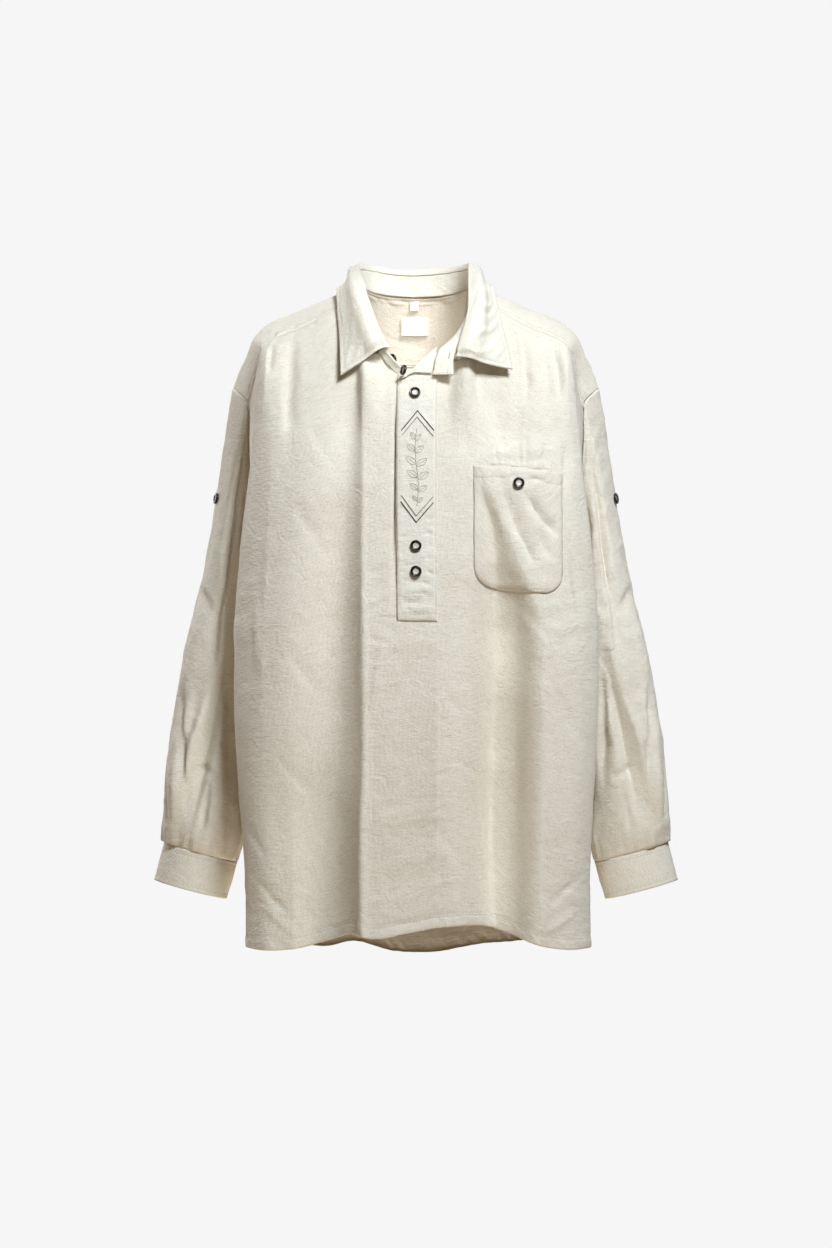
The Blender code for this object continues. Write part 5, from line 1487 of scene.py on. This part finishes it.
# %% Sew the seams and hems
def seam_rows():
    """Every row of topstitching: piece, edge, distance from the edge, and where it starts and ends."""
    rows = (
        ("front_cloth", "foot", 0.0130, 0.002, -0.002),
        ("back_cloth", "foot", 0.0130, 0.002, -0.002),
        ("yoke_cloth", "foot", 0.0015, 0.002, -0.002),
        ("yoke_cloth", "foot", 0.0085, 0.002, -0.002),
        ("yoke_cloth", "top", 0.0015, 0.002, -0.002),
        ("yoke_cloth", "top", 0.0070, 0.002, -0.002),
        ("cuff_left_cloth", "foot", 0.0055, 0.002, -0.002),
        ("cuff_left_cloth", "top", 0.0055, 0.002, -0.002),
        ("cuff_right_cloth", "foot", 0.0055, 0.002, -0.002),
        ("cuff_right_cloth", "top", 0.0055, 0.002, -0.002),
        ("collar_fall_cloth", "top", 0.0055, 0.0055, -0.0055),
        ("collar_fall_cloth", "left", 0.0055, 0.010, -0.0055),
        ("collar_fall_cloth", "right", 0.0055, 0.010, -0.0055),
        ("collar_stand_cloth", "foot", 0.0018, 0.002, -0.002),
        ("collar_stand_cloth", "right", 0.0022, 0.002, -0.002),
        ("placket_over_cloth", "left", 0.0022, 0.003, 0.290),
        ("placket_over_cloth", "right", 0.0022, 0.003, 0.290),
        ("placket_over_cloth", "foot", 0.0022, 0.003, -0.003),
        ("placket_over_cloth", "foot", 0.0300, 0.003, -0.003),
        ("pocket_cloth", "left", 0.0020, 0.020, -0.001),
        ("pocket_cloth", "right", 0.0020, 0.020, -0.001),
        ("pocket_cloth", "foot", 0.0020, 0.004, -0.004),
        ("pocket_cloth", "top", 0.0140, 0.002, -0.002),
    )
    groups = []
    for name, edge, distance, start, end in rows:
        path, normal = clip_path(*inset(name, edge, distance), start, end)
        groups.append(stitches(path, normal, lift=0.0001))
    return groups


sew("topstitching", seam_rows(), THREAD)


# %% [markdown]
# ## Embroidery on the placket
# Two dark chevrons frame a panel of leaves in the shirt's own colour. The leaves here are an
# ordinary twining sprig, laid out for this model.

# %% Embroider the placket
def on_band(x, z, out):
    """Points and facing on the over band, by distance across and level."""
    return on_cloth("band", x, z, out)


# Leaf pairs: level of the root, length, and lean away from the stem in radians
LEAVES = (
    (-0.2600, 0.0085, 0.75), (-0.2470, 0.0125, 0.95), (-0.2320, 0.0150, 1.00),
    (-0.2165, 0.0150, 0.95), (-0.2010, 0.0130, 0.85), (-0.1865, 0.0100, 0.65),
)


def stem_at(z):
    """Distance across of the stem at a level: one slow wave."""
    return 0.0010 + 0.0018 * np.sin((z + 0.174) / 0.092 * 2 * np.pi)


def embroidery():
    """Chevrons in two browns, and a stem with pointed leaves in the colour of the cloth."""
    dark, brown, motif = [], [], []
    for rows, group, radius in (
        (((-0.0172, -0.1760), (0.0018, -0.1525), (0.0212, -0.1760)), dark, 0.00060),
        (((-0.0180, -0.2608), (0.0002, -0.2854), (0.0205, -0.2620)), dark, 0.00060),
        (((-0.0161, -0.1813), (0.0013, -0.1600), (0.0205, -0.1830)), brown, 0.00036),
        (((-0.0175, -0.2533), (0.0002, -0.2778), (0.0205, -0.2549)), brown, 0.00036),
    ):
        corners = np.array(rows)
        t = np.linspace(0, 2, 81)
        path, way = on_band(np.interp(t, [0, 1, 2], corners[:, 0]), np.interp(t, [0, 1, 2], corners[:, 1]), 0.0004)
        group.append(stitches(path, way, pitch=0.0016, fill=1.5, radius=radius, slant=0.22))
    z = np.linspace(-0.1740, -0.2660, 90)
    path, way = on_band(stem_at(z), z, 0.0003)
    motif.append(stitches(path, way, pitch=0.0016, fill=1.4, radius=0.00040, slant=0.2))
    t = np.linspace(0, 1, 30)
    for level, length, lean in LEAVES:
        for side in (-1, 1):
            for bulge in (0.24, 0.0, -0.24):
                along = t * length * (0.86 if bulge == 0 else 1.0)
                swell = bulge * length * np.sin(np.pi * t) ** 0.8
                x = stem_at(level) + side * (along * np.sin(lean) + swell * np.cos(lean))
                z = level - 0.002 * (side > 0) + along * np.cos(lean) - swell * np.sin(lean)
                path, way = on_band(x, z, 0.0003)
                motif.append(stitches(path, way, pitch=0.0013, fill=1.35, radius=0.00030, slant=0.25))
    sew("chevrons_dark", dark, DARK_THREAD_AND_SLIT_SHADE)
    sew("chevrons_brown", brown, THREAD_BROWN)
    sew("leaf_embroidery", motif, THREAD_MOTIF)


embroidery()

# %% [markdown]
# ## Buttonhole
# The turned-out end of the stand shows its worked buttonhole: a slit with close stitches round it. The slit's darkness
# is painted shade: a row of dark thread stands for the shade in the open slit.

# %% Work the buttonhole
def buttonhole():
    """A slit of painted shade, a row of dark thread where the open slit is in shade, between two rows of close
    stitches, on the stand's turned-out end.
    """
    grid, normal = MADE["collar_stand_cloth"]
    spots = grid.reshape(-1, 3)
    near = np.argmin(((spots[:, [0, 2]] - [0.0392, -0.0866]) ** 2).sum(axis=1))
    place, way = spots[near], normal.reshape(-1, 3)[near]
    down = np.array([0.18, 0.0, 1.0])
    down -= (down @ way) * way
    down /= np.linalg.norm(down)
    side = np.cross(way, down)
    t = np.linspace(-0.0042, 0.0042, 20)[:, None]
    # The dark row along the slit is painted shade: dark thread for the shade inside the open buttonhole.
    slit = stitches(place + t * down, np.repeat(way[None], 20, 0), pitch=0.0021, fill=1.3, radius=0.00030)
    rows = [stitches(place + t * down + s * side, np.repeat(way[None], 20, 0), pitch=0.0009, fill=1.2, radius=0.0003,
                     slant=1.4) for s in (-0.0009, 0.0009)]
    sew("buttonhole_slit_painted_shade", [slit], DARK_THREAD_AND_SLIT_SHADE)
    sew("buttonhole_stitches", rows, THREAD)


buttonhole()

# %% [markdown]
# ## Light, backdrop and camera
# The photograph is a soft studio shot with the main light high on the right and in front. The
# backdrop is one pale sweep, a floor that curves up into a wall, well away from the shirt.

# %% Backdrop
def backdrop():
    """A round room: a profile of floor, curved corner, wall and ceiling, turned round the middle."""
    angle = np.linspace(0, np.pi / 2, 12)
    radius = np.concatenate([[0.0, 4.0], 7.0 + 3.0 * np.sin(angle), [10.0, 6.0, 0.0]])
    height = np.concatenate([[-5.0, -5.0], -2.0 - 3.0 * np.cos(angle), [7.0, 10.0, 11.0]])
    turn = np.linspace(0, 2 * np.pi, 64, endpoint=False)[:, None]
    grid = np.stack([radius * np.cos(turn), radius * np.sin(turn), height + 0 * turn], -1)
    n, m = len(turn), len(radius)
    i, j = np.arange(n)[:, None], np.arange(m - 1)
    faces = np.stack([i * m + j, i * m + j + 1, (i + 1) % n * m + j + 1, (i + 1) % n * m + j], -1).reshape(-1, 4)
    mesh = bpy.data.meshes.new("backdrop")
    mesh.from_pydata(grid.reshape(-1, 3).tolist(), [], faces.tolist())
    mesh.shade_smooth()
    made = bpy.data.objects.new("backdrop", mesh)
    bpy.context.scene.collection.objects.link(made)
    material, tree, shader = new_material("matt_paper", 0.95)
    shader.inputs["Base Color"].default_value = colour("#101010")
    shader.inputs["Specular IOR Level"].default_value = 0.0
    shader.inputs["Emission Color"].default_value = colour("#F6F6F6")
    shader.inputs["Emission Strength"].default_value = 1.0
    mesh.materials.append(material)
    for ray in ("diffuse", "glossy", "transmission", "volume_scatter", "shadow"):
        setattr(made, "visible_" + ray, False)


backdrop()


# %% [markdown]
# One large lamp high in front is the main light, and weaker ones fill from the other sides.

# %% Lights and camera
def area_light(name, place, aim, size, power, tint):
    """A square area light at a place, turned to what it lights."""
    lamp = bpy.data.lights.new(name, "AREA")
    lamp.shape = "SQUARE"
    lamp.size = size
    lamp.energy = power
    lamp.color = colour(tint)[:3]
    made = bpy.data.objects.new(name, lamp)
    made.location = place
    made.rotation_euler = (Vector(aim) - Vector(place)).to_track_quat("-Z", "Y").to_euler()
    bpy.context.scene.collection.objects.link(made)


area_light("key", (0.78, -1.90, 1.55), (0.0, 0, -0.25), 0.75, 98, "#EBF5FF")
area_light("fill", (-1.6, -3.0, 0.6), (0, 0, -0.3), 1.6, 4, "#FFE6C6")
area_light("under", (0.0, -0.25, -2.3), (0, 0, -0.8), 1.2, 22, "#FFF4E6")
area_light("side_right", (-2.0, 1.4, 0.2), (0, 0, -0.35), 1.4, 52, "#F8FAFF")
area_light("side_left", (1.9, 1.9, 0.2), (0, 0, -0.35), 1.4, 9, "#F8FAFF")
area_light("rear", (-0.6, 2.8, 0.9), (0, 0, -0.35), 1.6, 26, "#EBF5FF")
snoot = bpy.data.lights.new("neck", "SPOT")
snoot.energy = 280
snoot.spot_size = 0.055
snoot.spot_blend = 0.9
snoot.shadow_soft_size = 0.05
snooted = bpy.data.objects.new("neck", snoot)
snooted.location = (0.05, -3.2, 0.15)
snooted.rotation_euler = (Vector((0.0, 0.06, -0.045)) - snooted.location).to_track_quat("-Z", "Y").to_euler()
bpy.context.scene.collection.objects.link(snooted)
world = bpy.data.worlds.new("studio")
bpy.context.scene.world = world
world.use_nodes = True
world.node_tree.nodes["Background"].inputs["Color"].default_value = colour("#FFDDB2")
world.node_tree.nodes["Background"].inputs["Strength"].default_value = 0.10
bpy.context.scene.view_settings.view_transform = "Standard"

# One pixel of the 832 by 1248 picture is 1.22 mm at the shirt, and its middle is 405 mm below the neck.
PIXEL, DISTANCE = 0.00122, 4.0
lens = bpy.data.cameras.new("studio_camera")
lens.lens = 36 * DISTANCE / (1248 * PIXEL)
camera = bpy.data.objects.new("studio_camera", lens)
camera.location = (0.0, -DISTANCE, -0.405)
camera.rotation_euler = (np.pi / 2, 0, 0)
bpy.context.scene.collection.objects.link(camera)
bpy.context.scene.camera = camera
